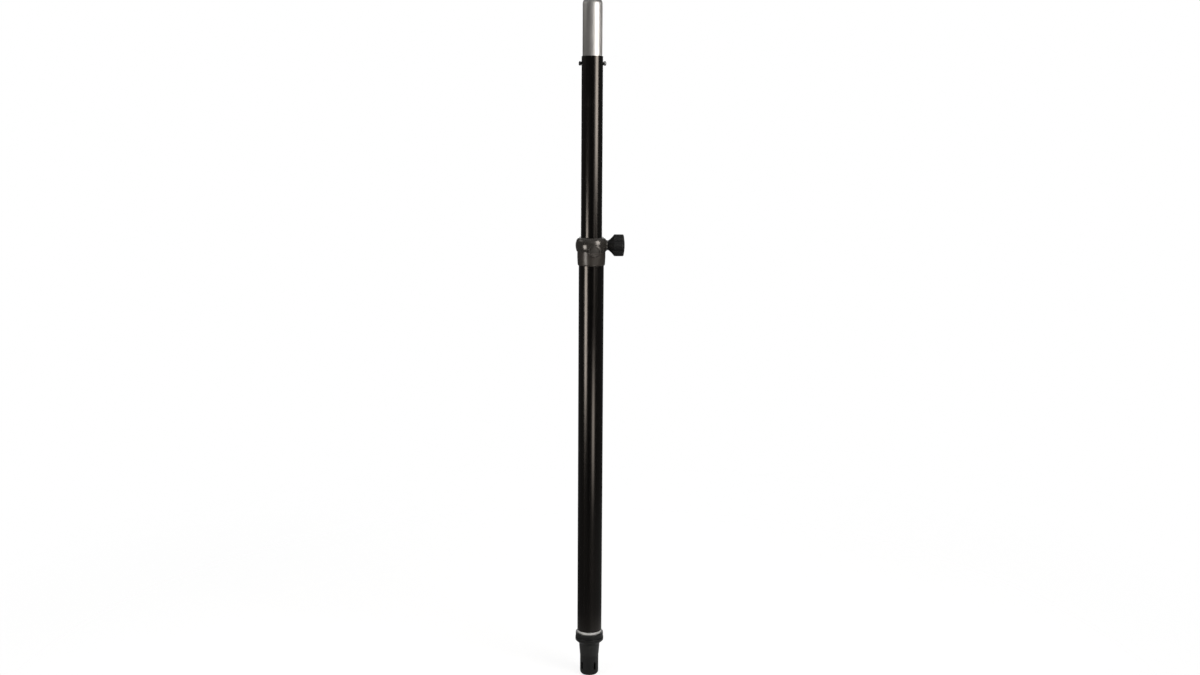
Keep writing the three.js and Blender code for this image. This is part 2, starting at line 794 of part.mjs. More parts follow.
function clampScrew() {
  return groupAt(
    collarBottom + clampHeight,
    spoke(knobSide, 0, piece("pressure_pad", pressurePad(), finishes.nylon)),
    spoke(knobSide, 0, piece("knob_stud", knobStud(), finishes.zincSteel)),
    spoke(knobSide, 0, piece("knob_body", knobBody(), finishes.knobMoulding)),
    spoke(knobSide, knobCapBack, piece("knob_cap", knobCap(), finishes.knobMoulding)),
  );
}

function innerMast() {
  const leftSpacerStart = -spacerSeat - boltSpacerLength;
  const across = groupAt(
    innerTubeLength - crossBoltDrop,
    spoke(crossBoltAngle, 0, piece("cross_bolt", crossBolt(), finishes.blackSteel)),
    spoke(crossBoltAngle, leftSpacerStart, piece("bolt_spacer_left", boltSpacer(), finishes.blackSteel)),
    spoke(crossBoltAngle, spacerSeat, piece("bolt_spacer_right", boltSpacer(), finishes.blackSteel)),
    spoke(crossBoltAngle, headSeat, piece("cross_bolt_nut", domeNut(), finishes.zincSteel)),
  );
  const pinReach = innerTubeRadius - clearance;
  const pin = piece("plug_pin", rod(plugPinRadius, -pinReach, pinReach), finishes.zincSteel);
  return groupAt(
    innerTubeBottom,
    piece("guide_ring", guideRing(), finishes.nylon),
    piece("inner_tube", innerTube(), finishes.blackTube),
    piece("tube_end_plug", endPlug(), finishes.mattMoulding),
    groupAt(plugPinRise, spoke(plugPinAngle, 0, pin)),
    groupAt(innerTubeLength, piece("spigot_tube", spigotTube(), finishes.bareMetal)),
    groupAt(innerTubeLength, piece("spigot_cap", spigotCap(), finishes.mattMoulding)),
    across,
  );
}

const pole = new THREE.Group();
pole.add(outerMast(), clampScrew(), innerMast());

export default pole;
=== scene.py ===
"""The looks of a telescoping speaker pole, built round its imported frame.

Lengths are in metres and +Z is up. The knob points to +X and the front of the pole faces -Y. Sizes
that the frame holds are read from its nodes, and the others are fields of the sub-assemblies,
written in millimetres times MM. Directions round the pole are in degrees from the front towards
the knob.
"""

import json
import logging
import math
from dataclasses import dataclass, field
from enum import Enum
from functools import partialmethod
from typing import Any, Sequence

import bpy
import numpy as np
from mathutils import Matrix, Vector

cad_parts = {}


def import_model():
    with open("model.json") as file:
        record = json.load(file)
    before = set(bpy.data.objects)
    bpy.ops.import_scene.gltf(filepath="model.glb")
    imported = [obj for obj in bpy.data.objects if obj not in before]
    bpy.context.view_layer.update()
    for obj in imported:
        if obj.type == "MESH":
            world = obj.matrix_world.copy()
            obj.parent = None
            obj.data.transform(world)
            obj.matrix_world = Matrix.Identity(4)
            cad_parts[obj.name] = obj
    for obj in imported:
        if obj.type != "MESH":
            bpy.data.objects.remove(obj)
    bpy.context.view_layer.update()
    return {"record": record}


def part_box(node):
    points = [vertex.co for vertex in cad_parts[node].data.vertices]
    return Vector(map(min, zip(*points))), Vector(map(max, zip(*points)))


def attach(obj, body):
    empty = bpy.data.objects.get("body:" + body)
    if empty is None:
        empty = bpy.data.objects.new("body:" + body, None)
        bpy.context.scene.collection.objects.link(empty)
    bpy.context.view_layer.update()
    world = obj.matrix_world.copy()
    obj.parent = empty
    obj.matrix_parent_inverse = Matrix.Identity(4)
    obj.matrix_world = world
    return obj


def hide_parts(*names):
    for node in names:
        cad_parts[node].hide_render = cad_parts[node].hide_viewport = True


LOG = logging.getLogger("speaker_pole")

MM = 0.001
CLEARANCE = 0.3 * MM
OVERRUN = 1 * MM
CRISP_EDGE = 0.15 * MM
SHARP_EDGE = 0.2 * MM
FINE_EDGE = 0.3 * MM
SOFT_EDGE = 0.5 * MM
ROUND_EDGE = 1 * MM
OUTER_WALL = 1.6 * MM
RUN_RADIUS = 19.3 * MM
CORE_MARGIN = 0.4 * MM
SHARP_DEGREES = 34.0
NO_LENGTH = 0.001 * MM
FULL_TURN = 2 * math.pi
QUARTER_TURN = math.pi / 2
KNOB_SIDE = 90.0
EDGE_ATTRIBUTE = "edge"

Color = tuple[float, float, float]
Point = tuple[float, float]
Place = tuple[float, float, float]
Piece = bpy.types.Object
Material = bpy.types.Material
Node = bpy.types.Node
Socket = bpy.types.NodeSocket


class Slot(Enum):
    """The record's material slots, one finish each."""

    BLACK_TUBE = "black_tube"
    BARE_METAL = "bare_metal"
    RING_METAL = "ring_metal"
    COLLAR_MOULDING = "collar_moulding"
    BASE_MOULDING = "base_moulding"
    KNOB_MOULDING = "knob_moulding"
    NYLON = "nylon"
    BRASS = "brass"
    ZINC_STEEL = "zinc_steel"
    BLACK_SCREWS = "black_screws"


class Ends(Enum):
    """How an outline ends: on the turning axis, or closed on itself as a ring's section is."""

    ON_AXIS = "on_axis"
    CLOSED = "closed"


# Outlines and meshes


@dataclass(frozen=True)
class Extent:
    """The box of a frame node, read as a turned piece."""

    low: Vector
    high: Vector

    @classmethod
    def of(cls, node: str) -> "Extent":
        """Return the extent of a frame node, named as in the record."""
        return cls(*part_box(node))

    @property
    def radius(self) -> float:
        """Return half the width along Y, which is the radius of a piece turned about Z or X."""
        return (self.high.y - self.low.y) / 2

    @property
    def level(self) -> float:
        """Return the middle height."""
        return (self.low.z + self.high.z) / 2


class Outline:
    """The outline of a turned piece: corners of (radius, height), some of them rounded."""

    def __init__(self, ends: Ends, *corners: tuple[float, ...]) -> None:
        """Keep the corners in their order.

        Args:
            ends: whether the outline ends on the axis or closes on itself.
            *corners: radius and height, and for a rounded corner the radius of its arc.
        """
        self.ends = ends
        self._corners = [(*corner, 0.0)[:3] for corner in corners]

    def points(self, steps: int = 5) -> list[Point]:
        """Work out the outline's points, with the roundings as arcs.

        Args:
            steps: segments in each rounding.

        Returns:
            The points in order, as (radius, height).
        """
        found: list[Point] = []
        count = len(self._corners)
        for i, (radius, height, rounding) in enumerate(self._corners):
            inner = 0 < i < count - 1 or self.ends is Ends.CLOSED
            if rounding <= 0 or not inner:
                found.append((radius, height))
                continue
            here = Vector((radius, height))
            before = Vector(self._corners[i - 1][:2]) - here
            after = Vector(self._corners[(i + 1) % count][:2]) - here
            found.extend(self._rounded(here, before, after, rounding, steps))
        return found

    @staticmethod
    def _rounded(here: Vector, before: Vector, after: Vector, rounding: float, steps: int) -> list[Point]:
        """Return the arc that rounds a corner between the ways to its two neighbours."""
        half_angle = before.angle(after) / 2
        reach = rounding / math.tan(half_angle)
        reach = min(reach, 0.48 * before.length, 0.48 * after.length)
        start = here + before.normalized() * reach
        end = here + after.normalized() * reach
        middle_way = (before.normalized() + after.normalized()).normalized()
        centre = here + middle_way * (reach / math.cos(half_angle))
        sweep = (start - centre).angle_signed(end - centre)
        turns = (-sweep * step / steps for step in range(steps + 1))
        return [tuple(centre + Matrix.Rotation(t, 2) @ (start - centre)) for t in turns]


def arc_points(centre: Point, radii: Point, start: float, end: float, steps: int) -> list[Point]:
    """Return points on an upright ellipse, from one angle to another, counted from straight out."""
    (x, y), (width, height) = centre, radii
    turns = np.linspace(start, end, steps + 1)
    return [(x + width * math.cos(t), y + height * math.sin(t)) for t in turns]


def refined(points: Sequence[Point], spacing: float, between: Point) -> list[Point]:
    """Split the long segments of an outline inside a band of heights.

    Args:
        points: the outline.
        spacing: the longest segment allowed in the band.
        between: lowest and highest height of the band.

    Returns:
        The outline with the added points.
    """
    made = [points[0]]
    for a, b in zip(points, points[1:]):
        middle = (a[1] + b[1]) / 2
        pieces = 1
        if between[0] <= middle <= between[1]:
            pieces = max(1, math.ceil(math.dist(a, b) / spacing))
        made.extend(tuple(np.add(a, np.subtract(b, a) * k / pieces)) for k in range(1, pieces + 1))
    return made


def read_all(items: Any, name: str, width: int, kind: type = float) -> np.ndarray:
    """Read one property of all of a mesh's items, as rows of the given width."""
    values = np.empty(len(items) * width, kind)
    items.foreach_get(name, values)
    return values.reshape(-1, width)


def face_outward(mesh: bpy.types.Mesh) -> None:
    """Flip a closed mesh whose faces point inwards."""
    mesh.calc_loop_triangles()
    places = read_all(mesh.vertices, "co", 3)
    corners = read_all(mesh.loop_triangles, "vertices", 3, int)
    a, b, c = (places[corners[:, k]] for k in range(3))
    if np.einsum("ij,ij->", a, np.cross(b, c)) < 0:
        mesh.flip_normals()


def mesh_object(name: str, places: Any, faces: Sequence[Sequence[int]]) -> Piece:
    """Make a mesh object at the origin, with its faces pointing outwards.

    Args:
        name: the object's name.
        places: the vertices.
        faces: the faces, as lists of vertex numbers.

    Returns:
        The new object, linked to the scene.
    """
    mesh = bpy.data.meshes.new(name)
    mesh.from_pydata([tuple(p) for p in places], [], [list(f) for f in faces])
    mesh.update()
    face_outward(mesh)
    made = bpy.data.objects.new(name, mesh)
    bpy.context.scene.collection.objects.link(made)
    return made


def ring_faces(rings: Sequence[Sequence[int]]) -> list[list[int]]:
    """Join each ring of vertices to the next, by triangles where a ring is a single point."""
    faces = []
    for low, high in zip(rings, rings[1:]):
        for i in range(len(low)):
            k = (i + 1) % len(low)
            faces.append(list(dict.fromkeys((low[i], low[k], high[k], high[i]))))
    return faces


def loft(name: str, rings: Sequence[Sequence[Place]]) -> Piece:
    """Make a closed mesh through rings of equally many points, with its two ends flat."""
    count = len(rings[0])
    numbers = [list(range(k * count, (k + 1) * count)) for k in range(len(rings))]
    faces = [numbers[0][::-1], numbers[-1], *ring_faces(numbers)]
    return mesh_object(name, [place for ring in rings for place in ring], faces)


def turned(name: str, outline: Outline, sides: int = 128, steps: int = 5) -> Piece:
    """Turn an outline about Z into a closed mesh.

    Args:
        name: the object's name.
        outline: what is turned.
        sides: facets round the axis.
        steps: segments in each rounding.

    Returns:
        The turned object.
    """
    angles = np.arange(sides) * FULL_TURN / sides
    places: list[Place] = []
    rings: list[list[int]] = []
    for radius, height in outline.points(steps):
        first = len(places)
        if radius < NO_LENGTH:
            places.append((0.0, 0.0, height))
            rings.append([first] * sides)
        else:
            places.extend((radius * math.cos(a), radius * math.sin(a), height) for a in angles)
            rings.append(list(range(first, first + sides)))
    if outline.ends is Ends.CLOSED:
        rings.append(rings[0])
    return mesh_object(name, places, ring_faces(rings))


def on_spoke(piece: Piece, degrees: float, height: float = 0.0) -> Piece:
    """Lay a piece made along Z on the spoke of a direction and height, its Z outwards."""
    lay = Matrix.Rotation(QUARTER_TURN, 4, "Y")
    turn = Matrix.Rotation(math.radians(degrees) - QUARTER_TURN, 4, "Z")
    piece.data.transform(Matrix.Translation((0, 0, height)) @ turn @ lay)
    return piece


def rod(name: str, radius: float, low: float, high: float, sides: int = 48) -> Piece:
    """Return a plain rod along Z, used as a cutting tool."""
    corners = ((0, low), (radius, low), (radius, high), (0, high))
    return turned(name, Outline(Ends.ON_AXIS, *corners), sides)


def settled(piece: Piece) -> Piece:
    """Turn what a piece's modifiers give into its own plain mesh, and remove them."""
    depsgraph = bpy.context.evaluated_depsgraph_get()
    mesh = bpy.data.meshes.new_from_object(
        piece.evaluated_get(depsgraph), preserve_all_data_layers=True, depsgraph=depsgraph
    )
    piece.modifiers.clear()
    piece.data = mesh
    return piece


def mark_edges(mesh: bpy.types.Mesh, low: float = 0.05, high: float = 0.2) -> None:
    """Store how convex the surface is at each vertex, which the wear along edges reads.

    Args:
        mesh: the mesh that gets the attribute.
        low: lean of the edges at a vertex from which it counts as an edge.
        high: lean at which it counts fully.
    """
    places = read_all(mesh.vertices, "co", 3)
    normals = read_all(mesh.vertex_normals, "vector", 3)
    first, second = read_all(mesh.edges, "vertices", 2, int).T
    way = places[first] - places[second]
    way /= np.maximum(np.linalg.norm(way, axis=1, keepdims=True), NO_LENGTH)
    lean = np.zeros(len(mesh.vertices))
    np.add.at(lean, first, np.einsum("ij,ij->i", normals[first], way) / 2)
    np.add.at(lean, second, -np.einsum("ij,ij->i", normals[second], way) / 2)
    share = np.clip((lean - low) / (high - low), 0, 1)
    layer = mesh.attributes.new(EDGE_ATTRIBUTE, "FLOAT", "POINT")
    layer.data.foreach_set("value", share.astype(np.float32))


def shaded(piece: Piece, sharp_degrees: float = SHARP_DEGREES) -> Piece:
    """Shade a piece smooth but for the edges sharper than an angle, its large faces flat."""
    mesh = piece.data
    mesh.shade_smooth()
    mesh.set_sharp_from_angle(angle=math.radians(sharp_degrees))
    mark_edges(mesh)
    weighted = piece.modifiers.new("weighted_normals", "WEIGHTED_NORMAL")
    weighted.keep_sharp = True
    return settled(piece)


# Node trees


class Net:
    """Adds nodes to one tree and joins them."""

    def __init__(self, tree: bpy.types.NodeTree) -> None:
        """Start a net on a tree."""
        self.tree = tree

    def add(self, kind: str, inputs: dict[Any, Any] | None = None, **settings: Any) -> Node:
        """Add a node.

        Args:
            kind: the node's type.
            inputs: for each input's name or number, a socket to join or a value to set.
            **settings: the node's own settings.

        Returns:
            The node.
        """
        node = self.tree.nodes.new(kind)
        for name, value in settings.items():
            setattr(node, name, value)
        for key, value in (inputs or {}).items():
            if isinstance(value, Socket):
                self.tree.links.new(value, node.inputs[key])
            else:
                node.inputs[key].default_value = value
        return node

    def out(self, kind: str, inputs: dict[Any, Any] | None = None, **settings: Any) -> Socket:
        """Add a node, and return its first output."""
        return self.add(kind, inputs, **settings).outputs[0]

    def math(self, operation: str, *values: Any, clamp: bool = False) -> Socket:
        """Add a Math node on sockets or numbers, and return its result."""
        settings = {"operation": operation, "use_clamp": clamp}
        return self.out("ShaderNodeMath", dict(enumerate(values)), **settings)

    plus = partialmethod(math, "ADD")
    minus = partialmethod(math, "SUBTRACT")
    times = partialmethod(math, "MULTIPLY")
    over = partialmethod(math, "DIVIDE")

    def vector(self, x: Any = 0.0, y: Any = 0.0, z: Any = 0.0) -> Socket:
        """Join three values into a vector."""
        return self.out("ShaderNodeCombineXYZ", {0: x, 1: y, 2: z})

    def parts(self, vector: Socket) -> tuple[Socket, Socket, Socket]:
        """Take a vector apart into its X, Y and Z."""
        return tuple(self.add("ShaderNodeSeparateXYZ", {0: vector}).outputs)

    def scaled(self, vector: Socket, *factors: Any) -> Socket:
        """Multiply a vector's X, Y and Z by a factor each."""
        inputs = {0: vector, 1: self.vector(*factors)}
        return self.out("ShaderNodeVectorMath", inputs, operation="MULTIPLY")

    def length(self, vector: Socket) -> Socket:
        """Work out a vector's length."""
        return self.add("ShaderNodeVectorMath", {0: vector}, operation="LENGTH").outputs["Value"]

    def noise(self, vector: Socket, **inputs: Any) -> Socket:
        """Add noise, with its inputs other than the vector by name, and return its height."""
        return self.out("ShaderNodeTexNoise", {"Vector": vector, **inputs})

    def ramp(self, value: Socket, start: Any, end: Any, low: Any = 0.0, high: Any = 1.0) -> Socket:
        """Map a value smoothly from start..end to low..high, and return the result."""
        inputs = {0: value, 1: start, 2: end, 3: low, 4: high}
        return self.out("ShaderNodeMapRange", inputs, interpolation_type="SMOOTHSTEP")

    def mix_color(self, share: Any, first: Any, second: Any) -> Socket:
        """Mix two colours by a share, and return the result."""
        inputs = {0: share, 6: first, 7: second}
        return self.add("ShaderNodeMix", inputs, data_type="RGBA").outputs[2]


class GeometryTree:
    """A geometry node tree with named inputs, which ends in Realize Instances and Set Material."""

    name = "geometry"
    sockets: dict[str, tuple[str, ...]] = {}

    def __init__(self) -> None:
        """Build the tree once, for all the pieces that it makes."""
        self.tree = bpy.data.node_groups.new(self.name, "GeometryNodeTree")
        face = self.tree.interface
        face.new_socket("Geometry", in_out="INPUT", socket_type="NodeSocketGeometry")
        for kind, labels in self.sockets.items():
            for label in labels:
                face.new_socket(label, in_out="INPUT", socket_type=f"NodeSocket{kind}")
        face.new_socket("Material", in_out="INPUT", socket_type="NodeSocketMaterial")
        face.new_socket("Geometry", in_out="OUTPUT", socket_type="NodeSocketGeometry")
        net = Net(self.tree)
        given = net.add("NodeGroupInput").outputs
        made = self.draw(net, {s.name: s for s in given if s.name})
        real = net.add("GeometryNodeRealizeInstances", {"Geometry": made})
        inputs = {"Geometry": real.outputs[0], "Material": given["Material"]}
        dressed = net.add("GeometryNodeSetMaterial", inputs)
        net.add("NodeGroupOutput", {"Geometry": dressed.outputs[0]})

    def draw(self, net: Net, given: dict[str, Socket]) -> Socket:
        """Add the tree's own nodes.

        Args:
            net: the tree to add to.
            given: the tree's inputs by name.

        Returns:
            The geometry that the tree makes.
        """
        raise NotImplementedError

    @staticmethod
    def between(net: Net, geometry: Socket, low: Socket, high: Socket) -> Socket:
        """Lift a geometry from the origin to the middle between two heights."""
        level = net.over(net.plus(low, high), 2.0)
        moved = {"Geometry": geometry, "Translation": net.vector(z=level)}
        return net.out("GeometryNodeTransform", moved)

    def make(
        self, piece: Piece | None, name: str, material: Material | None, values: dict[str, Any]
    ) -> Piece:
        """Run the tree and turn its result into a plain mesh.

        Args:
            piece: the object whose mesh the tree works on, or None for an empty one.
            name: the resulting object's name.
            material: what the result is made of.
            values: a value for each named input.

        Returns:
            The object, without its modifier.
        """
        if piece is None:
            piece = mesh_object(name, [], [])
        piece.name = name
        modifier = piece.modifiers.new(self.name, "NODES")
        modifier.node_group = self.tree
        values = dict(values, Material=material)
        for item in self.tree.interface.items_tree:
            if item.item_type == "SOCKET" and item.in_out == "INPUT" and item.name in values:
                modifier[item.identifier] = values[item.name]
        settled(piece)
        face_outward(piece.data)
        return piece


class SleeveTree(GeometryTree):
    """A tube or ring about Z whose rims are rounded."""

    name = "sleeve"
    sockets = {
        "Float": ("Inner Radius", "Outer Radius", "Low", "High", "Rim Rounding"),
        "Int": ("Sides", "Rows"),
    }

    def draw(self, net: Net, given: dict[str, Socket]) -> Socket:
        """Sweep a rounded rectangle, the wall's section, round a circle."""
        inner, outer = given["Inner Radius"], given["Outer Radius"]
        low, high = given["Low"], given["High"]
        middle = net.over(net.plus(inner, outer), 2.0)
        wall = net.minus(outer, inner)
        length = net.minus(high, low)
        size = {"Width": wall, "Height": length}
        section = net.add("GeometryNodeCurvePrimitiveQuadrilateral", size)
        rim = given["Rim Rounding"]
        rounding = {"Curve": section.outputs[0], "Count": 4, "Radius": rim, "Limit Radius": True}
        rounded = net.out("GeometryNodeFilletCurve", rounding, mode="POLY")
        long = net.minus(net.over(length, 2.0), rim)
        rows = self._rows(net, rounded, net.over(wall, 2.0), long, given["Rows"])
        path = {"Resolution": given["Sides"], "Radius": middle}
        circle = net.add("GeometryNodeCurvePrimitiveCircle", path)
        swept = net.add("GeometryNodeCurveToMesh", {0: circle.outputs[0], 1: rows})
        return self.between(net, swept.outputs[0], low, high)

    @staticmethod
    def _rows(net: Net, section: Socket, half: Socket, long: Socket, rows: Socket) -> Socket:
        """Cut the section's two long sides into rows that gather at the rims.

        Args:
            net: the tree to add to.
            section: the rounded section.
            half: half the wall.
            long: half the length between the roundings.
            rows: number of cuts in each long side.

        Returns:
            The section with its rows.
        """
        place = net.out("GeometryNodeInputPosition")
        across, along, _ = net.parts(place)
        limit = net.times(half, 0.999)
        on_wall = net.math("GREATER_THAN", net.math("ABSOLUTE", across), limit)
        starts = net.math("LESS_THAN", net.times(across, along), 0.0)
        cuts = net.times(rows, net.times(on_wall, starts))
        split = net.out("GeometryNodeSubdivideCurve", {0: section, 1: cuts})
        share = net.over(along, long)
        size = net.math("ABSOLUTE", share)
        near = net.math("POWER", net.minus(1.0, size), 3.0)
        level = net.times(net.minus(1.0, near), long)
        signed = net.times(level, net.math("SIGN", share))
        inner = net.math("LESS_THAN", size, 0.9999)
        place = net.vector(across, signed)
        inputs = {"Geometry": split, "Selection": inner, "Position": place}
        return net.out("GeometryNodeSetPosition", inputs)


def spoke_instances(net: Net, given: dict[str, Socket]) -> Socket:
    """Add nodes that copy an object round the pole, at even steps from a first direction."""
    points = net.add("GeometryNodePoints", {"Count": given["Count"]})
    index = net.out("GeometryNodeInputIndex")
    step = net.times(index, given["Step Angle"])
    angle = net.plus(step, given["First Angle"])
    axis_angle = {"Axis": (0.0, 0.0, 1.0), "Angle": angle}
    rotation = net.add("FunctionNodeAxisAngleToRotation", axis_angle)
    copied = net.add("GeometryNodeObjectInfo", {"Object": given["Copied Object"]})
    inputs = {
        "Points": points.outputs[0],
        "Instance": copied.outputs["Geometry"],
        "Rotation": rotation.outputs[0],
    }
    return net.out("GeometryNodeInstanceOnPoints", inputs)


SPOKE_SOCKETS = {
    "Object": ("Copied Object",),
    "Int": ("Count",),
    "Float": ("First Angle", "Step Angle"),
}


class RingOfPieces(GeometryTree):
    """Copies of an object round the pole, such as screws."""

    name = "ring_of_pieces"
    sockets = SPOKE_SOCKETS

    def draw(self, net: Net, given: dict[str, Socket]) -> Socket:
        """Return the copies."""
        return spoke_instances(net, given)


class RingOfCuts(GeometryTree):
    """A piece with copies of a cutting tool taken out of it, such as slots and holes."""

    name = "ring_of_cuts"
    sockets = SPOKE_SOCKETS

    def draw(self, net: Net, given: dict[str, Socket]) -> Socket:
        """Take the copied tool out of the piece."""
        tools = net.add("GeometryNodeRealizeInstances", {0: spoke_instances(net, given)})
        cut = net.add("GeometryNodeMeshBoolean", operation="DIFFERENCE", solver="MANIFOLD")
        net.tree.links.new(given["Geometry"], cut.inputs["Mesh 1"])
        net.tree.links.new(tools.outputs[0], cut.inputs["Mesh 2"])
        return cut.outputs["Mesh"]


class FlutedForm(GeometryTree):
    """A turned piece drawn in to valleys between evenly spaced lobes, outside a plain core."""

    name = "fluted_form"
    sockets = {"Int": ("Lobes",), "Float": ("Core Radius", "Lobe Radius", "Valley Radius", "Fullness")}

    def draw(self, net: Net, given: dict[str, Socket]) -> Socket:
        """Move each point outside the core towards the axis, by its angle from the next lobe."""
        place = net.out("GeometryNodeInputPosition")
        x, y, _ = net.parts(place)
        length = net.length(net.vector(x, y))
        angle = net.math("ARCTAN2", y, x)
        wave = net.math("COSINE", net.times(angle, given["Lobes"]))
        rise = net.times(net.plus(wave, 1.0), 0.5)
        lobe = net.math("POWER", rise, given["Fullness"])
        core = given["Core Radius"]
        depth = net.minus(given["Valley Radius"], core)
        reach = net.minus(given["Lobe Radius"], core)
        slope = net.over(depth, reach)
        outside = net.math("MAXIMUM", net.minus(length, core), 0.0)
        drop = net.times(outside, net.minus(1.0, slope))
        inward = net.times(drop, net.minus(1.0, lobe))
        safe = net.math("MAXIMUM", length, NO_LENGTH)
        share = net.over(net.minus(length, inward), safe)
        inputs = {"Geometry": given["Geometry"], "Position": net.scaled(place, share, share, 1.0)}
        return net.out("GeometryNodeSetPosition", inputs)


class ThreadedStud(GeometryTree):
    """A rod along Z with a helical thread and chamfered ends."""

    name = "threaded_stud"
    sockets = {
        "Float": ("Crest Radius", "Thread Depth", "Pitch", "Low", "High", "Chamfer"),
        "Int": ("Sides", "Rows"),
    }

    def draw(self, net: Net, given: dict[str, Socket]) -> Socket:
        """Draw a cylinder's side in by the thread's section, which climbs a pitch in each turn."""
        low, high, crest = given["Low"], given["High"], given["Crest Radius"]
        size = {
            "Vertices": given["Sides"],
            "Side Segments": given["Rows"],
            "Radius": crest,
            "Depth": net.minus(high, low),
        }
        blank = net.add("GeometryNodeMeshCylinder", size)
        moved = self.between(net, blank.outputs[0], low, high)
        place = net.out("GeometryNodeInputPosition")
        x, y, z = net.parts(place)
        turns = net.over(net.math("ARCTAN2", y, x), FULL_TURN)
        climb = net.minus(net.over(z, given["Pitch"]), turns)
        flank = net.times(net.math("PINGPONG", climb, 0.5), 2.0)
        flank = net.out("ShaderNodeMapRange", {0: flank, 1: 0.12, 2: 0.88})
        thread = net.minus(crest, net.times(flank, given["Thread Depth"]))
        near = net.math("MINIMUM", net.minus(z, low), net.minus(high, z))
        taper = net.math("MAXIMUM", net.minus(given["Chamfer"], near), 0.0)
        radius = net.math("MINIMUM", thread, net.minus(crest, taper))
        share = net.over(radius, crest)
        inputs = {"Geometry": moved, "Position": net.scaled(place, share, share, 1.0)}
        return net.out("GeometryNodeSetPosition", inputs)


# Effects that several finishes share


class Effect:
    """A shader node group: an effect with named inputs that puts out masks or heights."""

    name = "effect"
    inputs: dict[str, float] = {}
    outputs: tuple[str, ...] = ()

    def __init__(self) -> None:
        """Build the group once."""
        self.tree = bpy.data.node_groups.new(self.name, "ShaderNodeTree")
        face = self.tree.interface
        for label, value in self.inputs.items():
            socket = face.new_socket(label, in_out="INPUT", socket_type="NodeSocketFloat")
            socket.default_value = value
        for label in self.outputs:
            face.new_socket(label, in_out="OUTPUT", socket_type="NodeSocketFloat")
        net = Net(self.tree)
        given = {s.name: s for s in net.add("NodeGroupInput").outputs if s.name}
        place = net.add("ShaderNodeTexCoord").outputs["Object"]
        net.add("NodeGroupOutput", self.draw(net, given, place))

    def draw(self, net: Net, given: dict[str, Socket], place: Socket) -> dict[str, Socket]:
        """Add the effect's own nodes.

        Args:
            net: the group to add to.
            given: the group's inputs by name.
            place: the point on the object.

        Returns:
            A socket for each of the group's outputs.
        """
        raise NotImplementedError

    def used_in(self, net: Net, **values: float) -> dict[str, Socket]:
        """Place the group in a material, with some inputs' values by name (_ for a space)."""
        inputs = {name.replace("_", " "): value for name, value in values.items()}
        node = net.add("ShaderNodeGroup", inputs, node_tree=self.tree)
        return {s.name: s for s in node.outputs}


class DrawnLines(Effect):
    """The fine lines that drawing leaves along a tube, and the slower streaks among them."""

    name = "drawn_lines"
    inputs = {"Line Width": 0.3 * MM, "Line Length": 60 * MM}
    outputs = ("Height", "Streaks")

    def draw(self, net: Net, given: dict[str, Socket], place: Socket) -> dict[str, Socket]:
        """Stretch noise along Z."""
        fine = net.over(1.0, given["Line Width"])
        long = net.over(1.0, given["Line Length"])
        stretched = net.scaled(place, fine, fine, long)
        height = net.noise(stretched, Scale=1.0, Detail=2.0)
        inputs = {"Vector": stretched, "Scale": 0.14}
        wide = net.out("ShaderNodeVectorMath", inputs, operation="SCALE")
        streaks = net.noise(wide, Scale=1.0, Detail=3.0)
        return {"Height": height, "Streaks": net.ramp(streaks, 0.35, 0.68)}


class MouldGrain(Effect):
    """The fine grain of a moulded face, and the slow unevenness under it."""

    name = "mould_grain"
    inputs = {"Grain Size": 0.4 * MM, "Wave Size": 7 * MM}
    outputs = ("Height", "Waves")

    def draw(self, net: Net, given: dict[str, Socket], place: Socket) -> dict[str, Socket]:
        """Mix rounded cells with noise for the grain, and take slow noise for the waves."""
        grain_scale = net.over(1.0, given["Grain Size"])
        wave_scale = net.over(1.0, given["Wave Size"])
        cells = {"Vector": place, "Scale": grain_scale, "Smoothness": 0.6}
        pebble = net.add("ShaderNodeTexVoronoi", cells, feature="SMOOTH_F1").outputs["Distance"]
        speckle = net.noise(place, Scale=grain_scale, Detail=3.0)
        height = net.plus(net.times(pebble, 0.6), speckle)
        return {"Height": height, "Waves": net.noise(place, Scale=wave_scale, Detail=2.0)}


class Handling(Effect):
    """Dust and the dull marks of hands, in soft patches."""

    name = "handling"
    inputs = {"Patch Size": 40 * MM, "Cover": 0.45}
    outputs = ("Smudge", "Dust")

    def draw(self, net: Net, given: dict[str, Socket], place: Socket) -> dict[str, Socket]:
        """Cut soft patches out of noise, and break the dust up with finer noise."""
        scale = net.over(1.0, given["Patch Size"])
        patches = net.noise(place, Scale=scale, Detail=4.0, Distortion=0.6)
        edge = net.minus(1.0, given["Cover"])
        smudge = net.ramp(patches, edge, net.plus(edge, 0.25))
        specks = net.noise(place, Scale=net.times(scale, 60.0), Detail=2.0)
        dust = net.times(net.ramp(specks, 0.52, 0.7), smudge)
        return {"Smudge": smudge, "Dust": dust}


class EdgeWear(Effect):
    """Wear along convex edges, broken up as knocks break it."""

    name = "edge_wear"
    inputs = {"Knock Size": 3 * MM, "Amount": 0.5}
    outputs = ("Wear",)

    def draw(self, net: Net, given: dict[str, Socket], place: Socket) -> dict[str, Socket]:
        """Keep the edges where noise is above a level that the amount sets."""
        edge = net.add("ShaderNodeAttribute", attribute_name=EDGE_ATTRIBUTE).outputs["Fac"]
        scale = net.over(1.0, given["Knock Size"])
        noise = net.noise(place, Scale=scale, Detail=4.0, Roughness=0.65)
        start = net.minus(0.75, net.times(given["Amount"], 0.5))
        end = net.plus(start, 0.12)
        return {"Wear": net.times(edge, net.ramp(noise, start, end))}


# Finishes


@dataclass
class Effects:
    """The shared effects, built once."""

    lines: DrawnLines = field(default_factory=DrawnLines)
    grain: MouldGrain = field(default_factory=MouldGrain)
    handling: Handling = field(default_factory=Handling)
    wear: EdgeWear = field(default_factory=EdgeWear)


